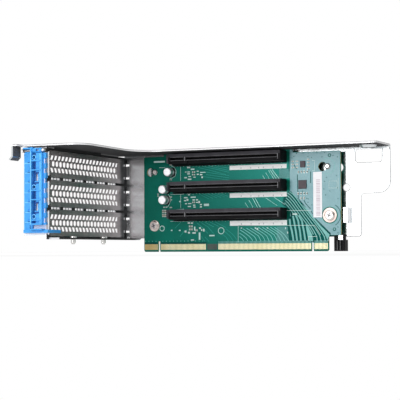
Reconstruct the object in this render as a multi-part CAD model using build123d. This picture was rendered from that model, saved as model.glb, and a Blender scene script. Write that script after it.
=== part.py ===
from build123d import *
import os
from math import sqrt

# A three slot riser card in its sheet metal bracket.
# Millimetres. X runs along the board away from the rear wall, Y from the slots through the board
# to the back plate, Z up. The origin is the middle of the bottom of the card edge.

# Circuit board
board_thickness = 1.6
edge_length = 146.2
tail_length = 9.2
tail_bottom = 11.2
left_shoulder_width = 16.8
left_shoulder_drop = 1.9
right_shoulder_width = 36.4
right_shoulder_drop = 2.5
board_top_gap = 0.4
board_corner_radius = 1.2
finger_height = 4.2
finger_bottom = 1.5
finger_thickness = 0.1
finger_margin = 0.7
bevel_height = 1.4
bevel_depth = 0.5
key_notch_width = 1.5
key_notch_height = 8.0
left_notch_offset = 12.6
right_notch_offset = 11.9
bare_gap_offset = 51.9
bare_gap_length = 8.8

# Card slots
slot_count = 3
slot_pitch = 20.32
top_slot_drop = 4.88
slot_length = 89.0
slot_width = 7.4
slot_depth = 11.25
slot_start = -47.1
slot_mouth_width = 2.0
slot_mouth_start = 1.5
slot_mouth_length = 84.9
slot_mouth_depth = 8.4
slot_key_offset = 12.6
slot_key_width = 1.9
slot_channel_width = 1.3
slot_channel_depth = 0.9
slot_tip_chamfer = 0.5

# Sheet metal bracket
sheet = 1.2
bend_radius = 1.6
standoff_height = 4.9
top_under_z = 72.8
plate_right = 94.8
plate_bottom = 10.2
plate_corner_radius = 2.0
foot_lip_drop = 1.2
foot_lip_end = -80.5
wing_right = 116.2
wing_height = 33.5
wing_arc_radius = 8.3
wing_inner_radius = 2.2
window_left = 90.8
window_length = 19.9
window_drop = 2.8
window_height = 9.6
window_radius = 2.5
round_hole_x = 84.6
round_hole_drop = 28.2
round_hole_diameter = 5.2
edge_hole_x = 79.0
edge_hole_drop = 14.0
edge_hole_diameter = 6.3
stop_gap = 0.4
stop_length = 4.4
stop_bottom = 19.9
stop_height = 10.7
stop_reach = 4.1
top_front = -24.0
top_inner_radius = 20.0
top_outer_radius = 13.0
top_waist_x = -66.4
top_nose_x = -62.4
top_near = -107.8
hook_gap = 2.2
hook_near = -115.3
hook_width = 9.8
hook_height = 9.6
hook_flare = 2.2
dimple_x = 103.9
dimple_y = -5.0
dimple_diameter = 14.0
dimple_floor_diameter = 9.0
dimple_depth = 1.9

# Rear frame
wall_inner_x = -93.55
wall_length = 109.3
wall_top_gap = 1.0
ear_width = 17.6
ear_bottom = 10.8
ear_hole_offset = 8.9
ear_hole_rise = 4.1
ear_hole_diameter = 3.0
opening_length = 95.0
opening_width = 13.8
opening_near_margin = 4.3
rear_flange_width = 31.5
bottom_flange_width = 8.4
bottom_flange_setback = 2.8
top_flange_width = 8.6
top_flange_near = -94.0
top_flange_length = 64.0
vent_height = 1.4
vent_length = 3.1
vent_pitch = 3.9
vent_group_pitch = 15.6
vent_groups = 6
vents_per_group = 3
vent_start = -96.0
lug_radius = 1.3
ear_top_gap = 0.5
corner_slot_width = 11.4
corner_slot_reach = 2.2
corner_slot_length = 4.2
corner_slot_end = 1.5
tongue_slot_length = 1.3
relief_x = -90.25
relief_z = 10.8
relief_diameter = 1.8

# Slot fillers
filler_thickness = 0.8
filler_width = 18.4
filler_end = 3.2
filler_offset = 6.92
filler_tab_depth = 11.43
filler_notch_depth = 1.6
filler_notch_length = 4.4
tongue_width = 8.0
tongue_length = 7.0
tongue_taper = 1.2
hex_pitch = 4.73
hex_flats = 4.0
hex_row_spacing = 4.3
slant_width = 3.6
slant_height = 3.0
slant_lean = 1.5
hex_first_y = -96.0
hex_middle_count = 19
tab_notch_width = 4.4
filler_rib_height = 0.3
filler_rib_width = 0.8
filler_rib_inset = 1.5
filler_rib_near = -88.0

# Latch
latch_gap = 0.3
pivot_y = -106.8
pivot_drop = 2.8
pivot_diameter = 1.2
pivot_clearance = 0.15
barrel_radius = 1.7
barrel_window_inset = 3.0
barrel_window_length = 2.4
crown_radius = 2.4
crown_bar_low = 0.9
crown_bar_high = 1.9
crown_bar_reach = 1.7
latch_skin = 1.2
latch_front_y = -109.3
latch_side_gap = 0.3
latch_inset = 0.7
latch_rim = 1.1
latch_strip_width = 7.05
channel_width = 8.5
comb_width = 1.9
comb_depth = 1.4
comb_tooth = 3.6
comb_notch = 0.9
latch_shoulder_drop = 1.9
latch_body_drop = 1.56
land_width = 5.4
land_height = 2.1
post_diameter = 3.4
post_bore = 1.4
post_height = 2.4
post_inset = 1.45
latch_rib = 0.9
latch_rib_height = 3.4
low_rib_drop = 9.2
high_rib_drop = 2.8
view_window_height = 5.6
view_window_inset = 1.0
view_window_width = 3.7
view_window_rise = 0.8
arm_drop = 6.96
arm_height = 2.2
arm_depth = 1.9
arm_length = 17.0
arm_thickness = 1.5
arm_gap = 0.35
grip_width = 1.7
grip_depth = 0.4

# Hardware and small pieces
screw_left_x = -64.4
screw_left_z = 19.4
screw_right_x = 74.1
screw_right_z = 25.2
screw_diameter = 3.0
screw_head_diameter = 7.4
screw_head_height = 1.6
screw_hole_clearance = 0.4
standoff_diameter = 6.0
stud_left_x = -63.6
stud_right_x = 72.8
stud_drop = 13.3
stud_neck = 2.8
stud_head = 4.2
stud_head_height = 0.9
stud_base = 5.4
stud_play = 0.15
keyhole_diameter = 6.5
keyhole_slot = 3.4
keyhole_shift = 3.8
pin_diameter = 3.5
pin_shank_diameter = 3.0
pin_length = 3.4
pin_head_diameter = 5.0
pin_head_height = 0.9
pin_tip_length = 1.2
pin_tip_inset = 0.7
pin_first_y = -76.8
pin_spacing = 42.0
rivet_diameter = 3.0
rivet_head_diameter = 5.4
rivet_head_height = 0.9
foot_width = 8.1
foot_depth = 7.0
foot_body_height = 8.0
foot_leg_height = 3.6
foot_leg_width = 1.7
foot_left = 75.7
foot_rib_depth = 0.5
foot_groove_count = 3
foot_tab_drop = 5.4
foot_tab_width = 6.6
can_diameter = 6.3
can_height = 5.8
can_groove_depth = 0.25
can_base_height = 1.0
can_base_width = 6.6
label_left = 62.0
label_drop = 17.0
label_width = 6.5
label_height = 32.0
label_thickness = 0.15
passive_length = 1.6
passive_width = 0.8
passive_height = 0.6
passive_pitch = 2.2
high_can_x = -50.4
high_can_drop = 13.8
middle_can_x = -54.7
middle_can_drop = 26.6
low_can_x = -54.8
low_can_drop = 34.4
regulator_x = 54.3
regulator_drop = 11.2
regulator_width = 3.7
regulator_height = 4.5
regulator_thickness = 1.0
buffer_x = 54.0
buffer_drop = 25.6
buffer_width = 6.1
buffer_height = 6.0
buffer_thickness = 0.9

# Places worked out from the sizes
front_face = -board_thickness / 2
back_face = board_thickness / 2
plate_face = back_face + standoff_height
plate_back = plate_face + sheet
top_z = top_under_z + sheet
board_left = -edge_length / 2
edge_right = edge_length / 2
board_right = edge_right + tail_length
top_slot_height = top_under_z - top_slot_drop
slot_heights = [top_slot_height - i * slot_pitch for i in reversed(range(slot_count))]
filler_heights = [z - filler_offset for z in slot_heights]
wall_outer_x = wall_inner_x - sheet
ear_front = plate_face - wall_length
ear_left = wall_outer_x - ear_width + sheet
filler_face_x = wall_inner_x + filler_thickness
tab_front = ear_front - filler_thickness
latch_back = tab_front - latch_gap
wall_bottom = plate_bottom - foot_lip_drop
wall_top = top_under_z - wall_top_gap
flange_back = plate_back + sheet
pivot_z = top_under_z - pivot_drop
latch_body_bottom = filler_heights[0] - latch_body_drop
arm_bottom = filler_heights[0] - arm_drop
stud_z = top_under_z - stud_drop
can_places = [(high_can_x, top_under_z - high_can_drop),
              (middle_can_x, top_under_z - middle_can_drop),
              (low_can_x, top_under_z - low_can_drop)]
regulator_place = (regulator_x, top_under_z - regulator_drop)
regulator_size = (regulator_width, regulator_height, regulator_thickness)
buffer_place = (buffer_x, top_under_z - buffer_drop)
buffer_size = (buffer_width, buffer_height, buffer_thickness)
parts_folder = "parts"


def block(x0, x1, y0, y1, z0, z1):
    """A box between two corners."""
    size = (x1 - x0, y1 - y0, z1 - z0)
    return Pos((x0 + x1) / 2, (y0 + y1) / 2, (z0 + z1) / 2) * Box(*size)


def rod_x(x0, x1, y, z, radius):
    """A round bar along X."""
    return Pos((x0 + x1) / 2, y, z) * Rot(0, 90, 0) * Cylinder(radius, x1 - x0)


def rod_y(x, y0, y1, z, radius):
    """A round bar along Y."""
    return Pos(x, (y0 + y1) / 2, z) * Rot(90, 0, 0) * Cylinder(radius, y1 - y0)


def rod_z(x, y, z0, z1, radius):
    """A round bar along Z."""
    return Pos(x, y, (z0 + z1) / 2) * Cylinder(radius, z1 - z0)


def prism_y(face, y0, y1):
    """An outline drawn as X and Z, given a thickness along Y."""
    return Pos(0, y1, 0) * extrude(Rot(90, 0, 0) * face, y1 - y0, dir=(0, -1, 0))


def outline(points):
    """A filled polygon from its corner points."""
    return make_face(Polyline(*points, close=True))


def edges_at(part, axis, **near):
    """Edges along an axis whose middle has the given coordinates."""
    found = part.edges().filter_by(axis)
    for name, value in near.items():
        found = [e for e in found if abs(getattr(e.center(), name) - value) < 0.01]
    return found


def mirrored_pair(centre, offset):
    """Two places, one each side of a centre."""
    return [centre - offset, centre + offset]


def riser_board():
    """The printed circuit board with its card edge, key notches, holes and keyholes."""
    middle_top = top_under_z - board_top_gap
    left_top = top_under_z - left_shoulder_drop
    right_top = top_under_z - right_shoulder_drop
    left_step = board_left + left_shoulder_width
    right_step = board_right - right_shoulder_width
    shape = outline([
        (board_left, 0), (edge_right, 0), (edge_right, tail_bottom), (board_right, tail_bottom),
        (board_right, right_top), (right_step, right_top),
        (right_step, middle_top), (left_step, middle_top),
        (left_step, left_top), (board_left, left_top)])
    outer = [(board_left, 0), (edge_right, 0), (board_right, tail_bottom),
             (board_right, right_top), (board_left, left_top)]
    corners = [v for v in shape.vertices()
               if any(abs(v.X - x) + abs(v.Y - z) < 0.01 for x, z in outer)]
    board = prism_y(fillet(corners, board_corner_radius), front_face, back_face)
    for side in (front_face, back_face):
        inner = side - bevel_depth if side > 0 else side + bevel_depth
        wedge = make_face(Polyline((side, 0), (inner, 0), (side, bevel_height), close=True))
        bevel = extrude(Plane.YZ.offset(board_left - 1) * wedge, edge_length + 2)
        board -= bevel
    for x in (board_left + left_notch_offset, edge_right - right_notch_offset):
        half = key_notch_width / 2
        notch = block(x - half, x + half, -sheet, sheet, -1, key_notch_height - half)
        board -= notch + rod_y(x, -sheet, sheet, key_notch_height - half, half)
    for x, z in screw_places():
        board -= rod_y(x, -sheet, sheet, z, (screw_diameter + screw_hole_clearance) / 2)
    for x in (stud_left_x, stud_right_x):
        board -= keyhole(x)
    return board


def keyhole(x):
    """A large hole with a narrower slot to its right, which ends round a shoulder stud."""
    half = keyhole_slot / 2
    hole = rod_y(x - keyhole_shift, -sheet, sheet, stud_z, keyhole_diameter / 2)
    slot = block(x - keyhole_shift, x, -sheet, sheet, stud_z - half, stud_z + half)
    return hole + slot + rod_y(x, -sheet, sheet, stud_z, half)


def finger_spans():
    """Runs of gold fingers along the card edge, between the ends, the notches and the bare gap."""
    half = key_notch_width / 2
    left_notch = board_left + left_notch_offset
    right_notch = edge_right - right_notch_offset
    bare = board_left + bare_gap_offset
    stops = [board_left, left_notch - half, left_notch + half, bare, bare + bare_gap_length,
             right_notch - half, right_notch + half, edge_right]
    return [(a + finger_margin, b - finger_margin) for a, b in zip(stops[::2], stops[1::2])]


def edge_contacts(y0, y1):
    """The plated contact fields on one side of the card edge."""
    top = finger_bottom + finger_height
    return [block(a, b, y0, y1, finger_bottom, top) for a, b in finger_spans()]


def screw_places():
    return [(screw_left_x, screw_left_z), (screw_right_x, screw_right_z)]


def card_slot(z):
    """A full length card socket: moulded body, long mouth, key bridge and two outer channels."""
    mouth = front_face - slot_depth
    end = slot_start + slot_length
    body = block(slot_start, end, mouth, front_face, z - slot_width / 2, z + slot_width / 2)
    front_edges = [e for e in body.edges() if abs(e.center().Y - mouth) < 0.01]
    body = chamfer(front_edges, slot_tip_chamfer)
    floor = mouth + slot_mouth_depth
    left = slot_start + slot_mouth_start
    right = left + slot_mouth_length
    key = slot_start + slot_key_offset
    half = slot_mouth_width / 2
    body -= block(left, key, mouth - 1, floor, z - half, z + half)
    body -= block(key + slot_key_width, right, mouth - 1, floor, z - half, z + half)
    # A shallow channel runs along each outer rail and stops at the key
    rail = (slot_width / 2 + half) / 2
    channel_floor = mouth + slot_channel_depth
    for centre in mirrored_pair(z, rail):
        low = centre - slot_channel_width / 2
        high = centre + slot_channel_width / 2
        body -= block(left, key - 1, mouth - 1, channel_floor, low, high)
        body -= block(key + slot_key_width + 1, right, mouth - 1, channel_floor, low, high)
    # Two feet raise the socket's skirt just clear of the board at each end
    skirt = slot_length - 4 * slot_key_width
    start = slot_start + 2 * slot_key_width
    body -= block(start, start + skirt, front_face - 0.4, front_face + 1, z - 2.2, z + 2.2)
    return body


def back_plate_outline():
    """The back plate and its wing, drawn as X and Z, with round corners."""
    left = wall_inner_x
    lip = wall_bottom
    wing_bottom = top_z - wing_height
    points = [
        (left, lip), (foot_lip_end, lip), (foot_lip_end + foot_lip_drop, plate_bottom),
        (plate_right, plate_bottom), (plate_right, wing_bottom), (wing_right, wing_bottom),
        (wing_right, top_z), (left, top_z)]
    shape = outline(points)
    radii = {(plate_right, plate_bottom): plate_corner_radius,
             (plate_right, wing_bottom): wing_inner_radius,
             (wing_right, wing_bottom): wing_arc_radius}
    for (x, z), radius in radii.items():
        corner = [v for v in shape.vertices() if abs(v.X - x) + abs(v.Y - z) < 0.01]
        shape = fillet(corner, radius)
    return shape


def top_plate_outline():
    """The top plate, drawn as X and Y: narrow over the board, wide over the card space."""
    left = ear_left - hook_gap - sheet
    nose = (top_nose_x, top_near)
    waist = (top_waist_x, top_front)
    shape = outline([
        (ear_left, plate_back), (wing_right, plate_back), (wing_right, top_front), waist, nose,
        (ear_left + sheet, top_near), (ear_left + sheet, hook_near), (left, hook_near),
        (left, hook_near + hook_width), (ear_left, hook_near + hook_width)])
    for (x, y), radius in {waist: top_inner_radius, nose: top_outer_radius}.items():
        corner = [v for v in shape.vertices() if abs(v.X - x) + abs(v.Y - y) < 0.01]
        shape = fillet(corner, radius)
    front = [v for v in shape.vertices()
             if abs(v.X - wing_right) + abs(v.Y - top_front) < 0.01
             or abs(v.X - left) + abs(v.Y - hook_near) < 0.01]
    return fillet(front, plate_corner_radius)


def board_stop():
    """A lanced bridge beside the board's right edge."""
    x0 = board_right + stop_gap
    x1 = x0 + stop_length
    top = stop_bottom + stop_height
    bridge = block(x0, x1, plate_face - stop_reach, plate_face, stop_bottom, top)
    crown = [e for e in bridge.edges().filter_by(Axis.Z)
             if abs(e.center().Y - (plate_face - stop_reach)) < 0.01]
    bridge = fillet(crown, sheet / 2)
    hollow = block(x0 + sheet, x1 - sheet, plate_face - stop_reach + sheet, plate_back + 1,
                   stop_bottom - 1, top + 1)
    return bridge - hollow


def hook_tab():
    """The tab that hangs from the near end of the top plate, with its lower end flared out."""
    outer = ear_left - hook_gap - sheet
    inner = outer + sheet
    low = top_under_z - hook_height
    near = hook_near
    shape = outline([
        (outer, top_z - sheet / 2), (inner, top_z - sheet / 2), (inner, low + hook_flare),
        (inner - hook_flare, low), (outer - hook_flare, low + sheet / 2),
        (outer, low + hook_flare + sheet / 2)])
    return prism_y(shape, near, near + hook_width)


def pressed_dimple():
    """A round dimple pressed down into the top plate."""
    outer = Cone(dimple_floor_diameter / 2, dimple_diameter / 2, dimple_depth + sheet)
    centre = top_under_z - dimple_depth + (dimple_depth + sheet) / 2
    return Pos(dimple_x, dimple_y, centre) * outer


def main_bracket():
    """The folded sheet: back plate with its wing, top plate, hook, board stop and foot tab."""
    plate = prism_y(back_plate_outline(), plate_face, plate_back)
    top = Pos(0, 0, top_under_z) * extrude(top_plate_outline(), sheet)
    bracket = plate + top + hook_tab() + board_stop()
    fold = edges_at(bracket, Axis.X, Y=plate_back, Z=top_z)
    bracket = fillet(fold, bend_radius)
    bracket += pressed_dimple()
    bracket -= Pos(0, 0, sheet) * pressed_dimple()
    # Window, holes and the slot left behind the lanced stop
    frame = Pos(window_left + window_length / 2, 0, top_z - window_drop - window_height / 2)
    opening = frame * Box(window_length, 4 * sheet + 2 * plate_face, window_height)
    opening = fillet(opening.edges().filter_by(Axis.Y), window_radius)
    bracket -= opening
    bracket -= rod_y(round_hole_x, plate_face - 1, plate_back + 1,
                     top_under_z - round_hole_drop, round_hole_diameter / 2)
    bracket -= rod_y(edge_hole_x, plate_face - 1, plate_back + 1,
                     top_under_z - edge_hole_drop, edge_hole_diameter / 2)
    x0 = board_right + stop_gap
    bracket -= block(x0 + sheet, x0 + stop_length - sheet, plate_face - sheet, plate_back + 1,
                     stop_bottom, stop_bottom + stop_height)
    # Notches that let the filler tongues through beside the rear wall
    for z in filler_heights:
        half = corner_slot_width / 2
        bracket -= block(wall_inner_x - 1, wall_inner_x + corner_slot_length, plate_face - 1,
                         plate_back + 1, z - half, z + half)
    bracket -= rod_y(relief_x, plate_face - 1, plate_back + 1, relief_z, relief_diameter / 2)
    # A tab below the plate carries the corner foot
    middle = foot_left + foot_width / 2
    bracket += block(middle - foot_tab_width / 2, middle + foot_tab_width / 2, plate_face,
                     plate_back, plate_bottom - foot_tab_drop, plate_bottom)
    for x, z in back_rivet_places():
        bracket -= rod_y(x, plate_face - 1, plate_back + 1, z, rivet_diameter / 2)
    for x, y in top_rivet_places():
        bracket -= rod_z(x, y, top_under_z - 1, top_z + 1, rivet_diameter / 2)
    return bracket


def back_rivet_places():
    """Rivets through the back plate and the rear frame's flange, behind the board."""
    x = wall_outer_x + rear_flange_width - rivet_head_diameter
    return [(x, z + slot_pitch / 2 - slot_width / 2) for z in filler_heights]


def top_rivet_places():
    """Rivets through the top plate and the rear frame's top flange."""
    x = wall_outer_x - top_flange_width / 2
    middle = top_flange_near + top_flange_length / 2
    return [(x, y) for y in mirrored_pair(middle, top_flange_length / 2 - rivet_head_diameter)]


def latch_lugs():
    """Two ears in front of the rear frame's top corners that hold the latch's pin."""
    lugs = []
    for x in (ear_left, wall_outer_x):
        lug = block(x, x + sheet, pivot_y, ear_front, pivot_z - lug_radius, pivot_z + lug_radius)
        lugs.append(lug + rod_x(x, x + sheet, pivot_y, pivot_z, lug_radius))
    hole = rod_x(ear_left - 1, wall_inner_x + 1, pivot_y, pivot_z, pivot_diameter / 2)
    return lugs[0] + lugs[1] - hole


def divider_vents():
    """Small vent slots in groups of three along each divider."""
    vents = []
    for z in filler_heights[1:]:
        for group in range(vent_groups):
            for i in range(vents_per_group):
                y = vent_start + group * vent_group_pitch + i * vent_pitch
                low = z - slot_pitch / 2 - vent_height / 2
                vents.append(block(wall_outer_x - 1, wall_inner_x + 1, y - vent_length / 2,
                                   y + vent_length / 2, low, low + vent_height))
    return vents


def rear_frame():
    """The rear wall with its card openings, ear flange, latch lugs and three narrow flanges."""
    wall = block(wall_outer_x, wall_inner_x, ear_front, flange_back, wall_bottom, wall_top)
    ear = block(ear_left, wall_inner_x, ear_front, ear_front + sheet, ear_bottom,
                top_under_z - ear_top_gap)
    flange = block(wall_outer_x, wall_outer_x + rear_flange_width, plate_back, flange_back,
                   wall_bottom + sheet, wall_top)
    floor = block(wall_outer_x, wall_inner_x + bottom_flange_width,
                  ear_front + bottom_flange_setback, plate_face, wall_bottom, plate_bottom)
    head = block(wall_outer_x - top_flange_width, wall_inner_x, top_flange_near,
                 top_flange_near + top_flange_length, top_under_z - sheet, top_under_z)
    frame = wall + ear + flange + floor + head
    frame = fillet(edges_at(frame, Axis.Z, X=wall_inner_x, Y=ear_front), filler_thickness)
    frame += latch_lugs()
    near = ear_front + opening_near_margin
    half = opening_width / 2
    slot_half = corner_slot_width / 2
    for z in filler_heights:
        frame -= block(wall_outer_x - 1, wall_inner_x + 1, near, near + opening_length,
                       z - half, z + half)
        frame -= block(wall_outer_x - 1, wall_inner_x + 1, plate_face - corner_slot_reach,
                       plate_face, z - slot_half, z + slot_half)
        frame -= block(wall_inner_x, wall_inner_x + tongue_slot_length, plate_back - 1,
                       flange_back + 1, z - slot_half, z + slot_half)
        for end in mirrored_pair(z, slot_half - corner_slot_end / 2):
            frame -= block(wall_inner_x, wall_inner_x + corner_slot_length, plate_back - 1,
                           flange_back + 1, end - corner_slot_end / 2,
                           end + corner_slot_end / 2)
        frame -= rod_y(wall_inner_x - ear_hole_offset + filler_thickness, ear_front - 1,
                       ear_front + sheet + 1, z + ear_hole_rise, ear_hole_diameter / 2)
    frame -= rod_y(relief_x, plate_back - 1, flange_back + 1, relief_z, relief_diameter / 2)
    for vent in divider_vents():
        frame -= vent
    for x, z in back_rivet_places():
        frame -= rod_y(x, plate_back - 1, flange_back + 1, z, rivet_diameter / 2)
    for x, y in top_rivet_places():
        frame -= rod_z(x, y, top_under_z - sheet - 1, top_under_z + 1, rivet_diameter / 2)
    for y in pin_places():
        frame -= rod_z(pin_x(), y, wall_bottom - 1, plate_bottom + 1, pin_shank_diameter / 2)
    return frame


def grille_holes(z):
    """A row of hexagons between two rows of slots that lean away from it."""
    holes = []
    half = slant_width / 2
    for i in range(hex_middle_count):
        y = hex_first_y + i * hex_pitch
        holes.append(Pos(y, z) * RegularPolygon(hex_flats / sqrt(3), 6, rotation=30))
    for i in range(hex_middle_count + 1):
        y = hex_first_y + (i - 0.5) * hex_pitch
        for side in (-1, 1):
            near = z + side * (hex_row_spacing - slant_height / 2)
            far = z + side * (hex_row_spacing + slant_height / 2)
            holes.append(outline([(y - half, near), (y + half, near),
                                  (y + half + slant_lean, far), (y - half + slant_lean, far)]))
    return holes


def slot_filler(z):
    """A blanking plate: open grille, bent screw tab and a tongue that enters the corner slot."""
    half = filler_width / 2
    near = tab_front
    inner = wall_inner_x
    tip = tongue_width / 2 - tongue_taper
    side = half - filler_notch_depth
    step = near + filler_notch_length
    plate_shape = outline([
        (near, z - side), (step, z - side), (step, z - half), (filler_end, z - half),
        (filler_end, z - tongue_width / 2), (filler_end + tongue_length - tongue_taper,
                                             z - tongue_width / 2),
        (filler_end + tongue_length, z - tip), (filler_end + tongue_length, z + tip),
        (filler_end + tongue_length - tongue_taper, z + tongue_width / 2),
        (filler_end, z + tongue_width / 2), (filler_end, z + half), (step, z + half),
        (step, z + side), (near, z + side)])
    grille = Sketch() + grille_holes(z)
    plate = extrude(Plane.YZ.offset(inner) * (plate_shape - grille), filler_thickness)
    tab = block(filler_face_x - filler_tab_depth, filler_face_x, near, ear_front,
                z - side, z + side)
    filler = plate + tab
    filler = fillet(edges_at(filler, Axis.Z, X=filler_face_x, Y=near), 2 * filler_thickness)
    # The screw notch is open at the tab's outer end
    notch_x = filler_face_x - ear_hole_offset
    notch_z = z + ear_hole_rise
    notch_half = tab_notch_width / 2
    filler -= block(filler_face_x - filler_tab_depth - 1, notch_x, near - 1, ear_front + 1,
                    notch_z - notch_half, notch_z + notch_half)
    filler -= rod_y(notch_x, near - 1, ear_front + 1, notch_z, notch_half)
    for edge in mirrored_pair(z, half - filler_rib_inset):
        low = edge - filler_rib_width / 2
        filler += block(filler_face_x, filler_face_x + filler_rib_height, filler_rib_near,
                        filler_end, low, low + filler_rib_width)
    return filler


def latch_sections():
    """The latch's section from left to right: strip, rim, channel, rim and comb edge."""
    strip = ear_left + latch_inset
    rim = strip + latch_strip_width
    channel = rim + latch_rim
    comb = channel + channel_width
    far_rim = comb - latch_rim
    return strip, rim, channel, far_rim, comb


def card_latch():
    """The plastic latch that clamps the filler tabs: hinge barrel, ribbed channel and spring arm."""
    strip, rim, channel, far_rim, comb = latch_sections()
    back = latch_back
    skin = back - latch_skin
    front = latch_front_y
    low = latch_body_bottom
    shoulder = pivot_z - latch_shoulder_drop
    end = comb + comb_width
    body = block(strip, rim, skin, back, arm_bottom, pivot_z - crown_bar_low)
    body -= block(strip - 1, ear_left + sheet + latch_side_gap, skin - 1, back + 1,
                  pivot_z - lug_radius - latch_gap, pivot_z)
    body += block(rim, far_rim, skin, back, low, pivot_z)
    body += block(far_rim, end, skin, back, low, shoulder)
    body += block(rim, channel, front, back, low, pivot_z)
    body += block(far_rim, comb, front, back, low, shoulder)
    body += block(rim, comb, front, back, low, low + latch_rim)
    body += block(far_rim - land_width, far_rim, skin - land_height, back, low, shoulder)
    for z in rib_heights():
        body += block(rim, comb, skin - latch_rib_height, back, z, z + latch_rib)
    # The comb edge has three teeth for each card place
    tooth_pitch = slot_pitch / 3
    teeth = int((shoulder - low) / tooth_pitch)
    body += block(comb, end, skin - comb_depth, back, low, shoulder)
    for i in range(teeth):
        z = low + comb_tooth / 2 + i * tooth_pitch
        body -= block(end - comb_notch, end + 1, skin - comb_depth - 1, back + 1, z,
                      z + tooth_pitch - comb_tooth)
    for z in filler_heights:
        height = z + ear_hole_rise
        x = channel + post_inset
        body += rod_y(x, skin - post_height, back, height, post_diameter / 2)
        body -= rod_y(x, skin - post_height - 1, back + 1, height, post_bore / 2)
    # Windows between the card places show the metal behind
    window = channel + view_window_inset
    for z in filler_heights[1:]:
        middle = z - slot_pitch / 2 + view_window_rise
        body -= block(window, window + view_window_width, front, back + 1,
                      middle - view_window_height / 2, middle + view_window_height / 2)
    for i in range(teeth):
        z = low + (i + 0.5) * tooth_pitch
        dent = Pos((strip + rim) / 2 + grip_width / 2, z) * RegularPolygon(grip_width / 2, 6)
        body -= prism_y(dent, skin - 1, skin + grip_depth)
    bore = rod_x(strip, wall_inner_x, pivot_y, pivot_z, pivot_diameter / 2 + pivot_clearance)
    return body + spring_arm(strip, back) + latch_hinge(rim, channel) - bore


def rib_heights():
    """Two cross ribs beside each card place's post."""
    return [z + ear_hole_rise - drop for z in filler_heights for drop in (low_rib_drop, high_rib_drop)]


def latch_hinge(rim, channel):
    """The barrel on the pin, the round crown of the rim and the bar above the bare pin."""
    right = wall_outer_x - latch_side_gap
    bar = block(ear_left + sheet + latch_side_gap, rim, pivot_y - crown_bar_reach,
                pivot_y + crown_bar_reach, pivot_z + crown_bar_low, pivot_z + crown_bar_high)
    window = channel + barrel_window_inset
    hinge = rod_x(rim, right, pivot_y, pivot_z, barrel_radius)
    hinge -= block(window, window + barrel_window_length, pivot_y - 2 * barrel_radius,
                   pivot_y - pivot_diameter / 2, pivot_z - crown_bar_low, pivot_z + crown_bar_low)
    hinge += rod_x(rim, channel, pivot_y, pivot_z, crown_radius) + bar
    return hinge


def spring_arm(strip, back):
    """The arm along the latch's foot, which turns in beside the lowest filler."""
    inner = filler_face_x + arm_gap
    outer = inner + arm_thickness
    near = back - arm_depth
    arm = block(strip, outer, near, back, arm_bottom, arm_bottom + arm_height)
    arm += block(inner, outer, near, near + arm_length, arm_bottom, arm_bottom + arm_height)
    bends = edges_at(arm, Axis.Z, X=outer, Y=near)
    bends += edges_at(arm, Axis.Z, X=inner, Y=near + arm_length)
    return fillet(bends, arm_thickness / 2)


def latch_pin():
    """The steel pin through the lugs and the latch's barrel, headed at its right end."""
    shank = rod_x(ear_left, wall_inner_x, pivot_y, pivot_z, pivot_diameter / 2)
    return shank + rod_x(wall_inner_x, wall_inner_x + pin_head_height, pivot_y, pivot_z,
                         pivot_diameter)


def board_screws():
    """Pan head screws through the board into the standoffs."""
    screws = []
    for x, z in screw_places():
        seat = front_face
        head = rod_y(x, seat - screw_head_height, seat, z, screw_head_diameter / 2)
        rim = [e for e in head.edges() if abs(e.center().Y - (seat - screw_head_height)) < 0.01]
        head = chamfer(rim, screw_head_height / 2, screw_head_height)
        screws.append(head + rod_y(x, seat, plate_face, z, screw_diameter / 2))
    return screws


def board_standoffs():
    """Threaded standoffs pressed into the back plate behind the two screws."""
    bore = (screw_diameter + screw_hole_clearance / 2) / 2
    return [rod_y(x, back_face, plate_face, z, standoff_diameter / 2)
            - rod_y(x, back_face - 1, plate_face + 1, z, bore) for x, z in screw_places()]


def board_studs():
    """Shoulder studs on the back plate, with heads in front of the board's keyholes."""
    studs = []
    for x in (stud_left_x, stud_right_x):
        head_back = front_face - stud_play
        shoulder = back_face + stud_play
        stud = rod_y(x, shoulder, plate_face, stud_z, stud_base / 2)
        stud += rod_y(x, head_back, shoulder, stud_z, stud_neck / 2)
        head = rod_y(x, head_back - stud_head_height, head_back, stud_z, stud_head / 2)
        tip = [e for e in head.edges()
               if abs(e.center().Y - (head_back - stud_head_height)) < 0.01]
        studs.append(stud + chamfer(tip, stud_head_height / 3))
    return studs


def pin_x():
    return wall_inner_x + (bottom_flange_width + sheet) / 2


def pin_places():
    return [pin_first_y, pin_first_y + pin_spacing]


def guide_pins():
    """Shouldered locating pins riveted into the bottom flange."""
    pins = []
    for y in pin_places():
        tip = wall_bottom - pin_length
        pin = rod_z(pin_x(), y, tip, wall_bottom, pin_diameter / 2)
        end = [e for e in pin.edges() if abs(e.center().Z - tip) < 0.01]
        pin = chamfer(end, pin_tip_length, pin_tip_inset)
        pin += rod_z(pin_x(), y, wall_bottom, plate_bottom, pin_shank_diameter / 2)
        pin += rod_z(pin_x(), y, plate_bottom, plate_bottom + pin_head_height,
                     pin_head_diameter / 2)
        pins.append(pin)
    return pins


def frame_rivets():
    """Rivets that join the rear frame to the bracket, headed on both sides."""
    rivets = []
    radius = rivet_diameter / 2
    head = rivet_head_diameter / 2
    for x, z in back_rivet_places():
        rivet = rod_y(x, plate_face, flange_back, z, radius)
        rivet += rod_y(x, plate_face - rivet_head_height, plate_face, z, head)
        rivet += rod_y(x, flange_back, flange_back + rivet_head_height, z, head)
        rivets.append(rivet)
    for x, y in top_rivet_places():
        rivet = rod_z(x, y, top_under_z - sheet, top_z, radius)
        rivet += rod_z(x, y, top_under_z - sheet - rivet_head_height, top_under_z - sheet, head)
        rivet += rod_z(x, y, top_z, top_z + rivet_head_height, head)
        rivets.append(rivet)
    return rivets


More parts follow.
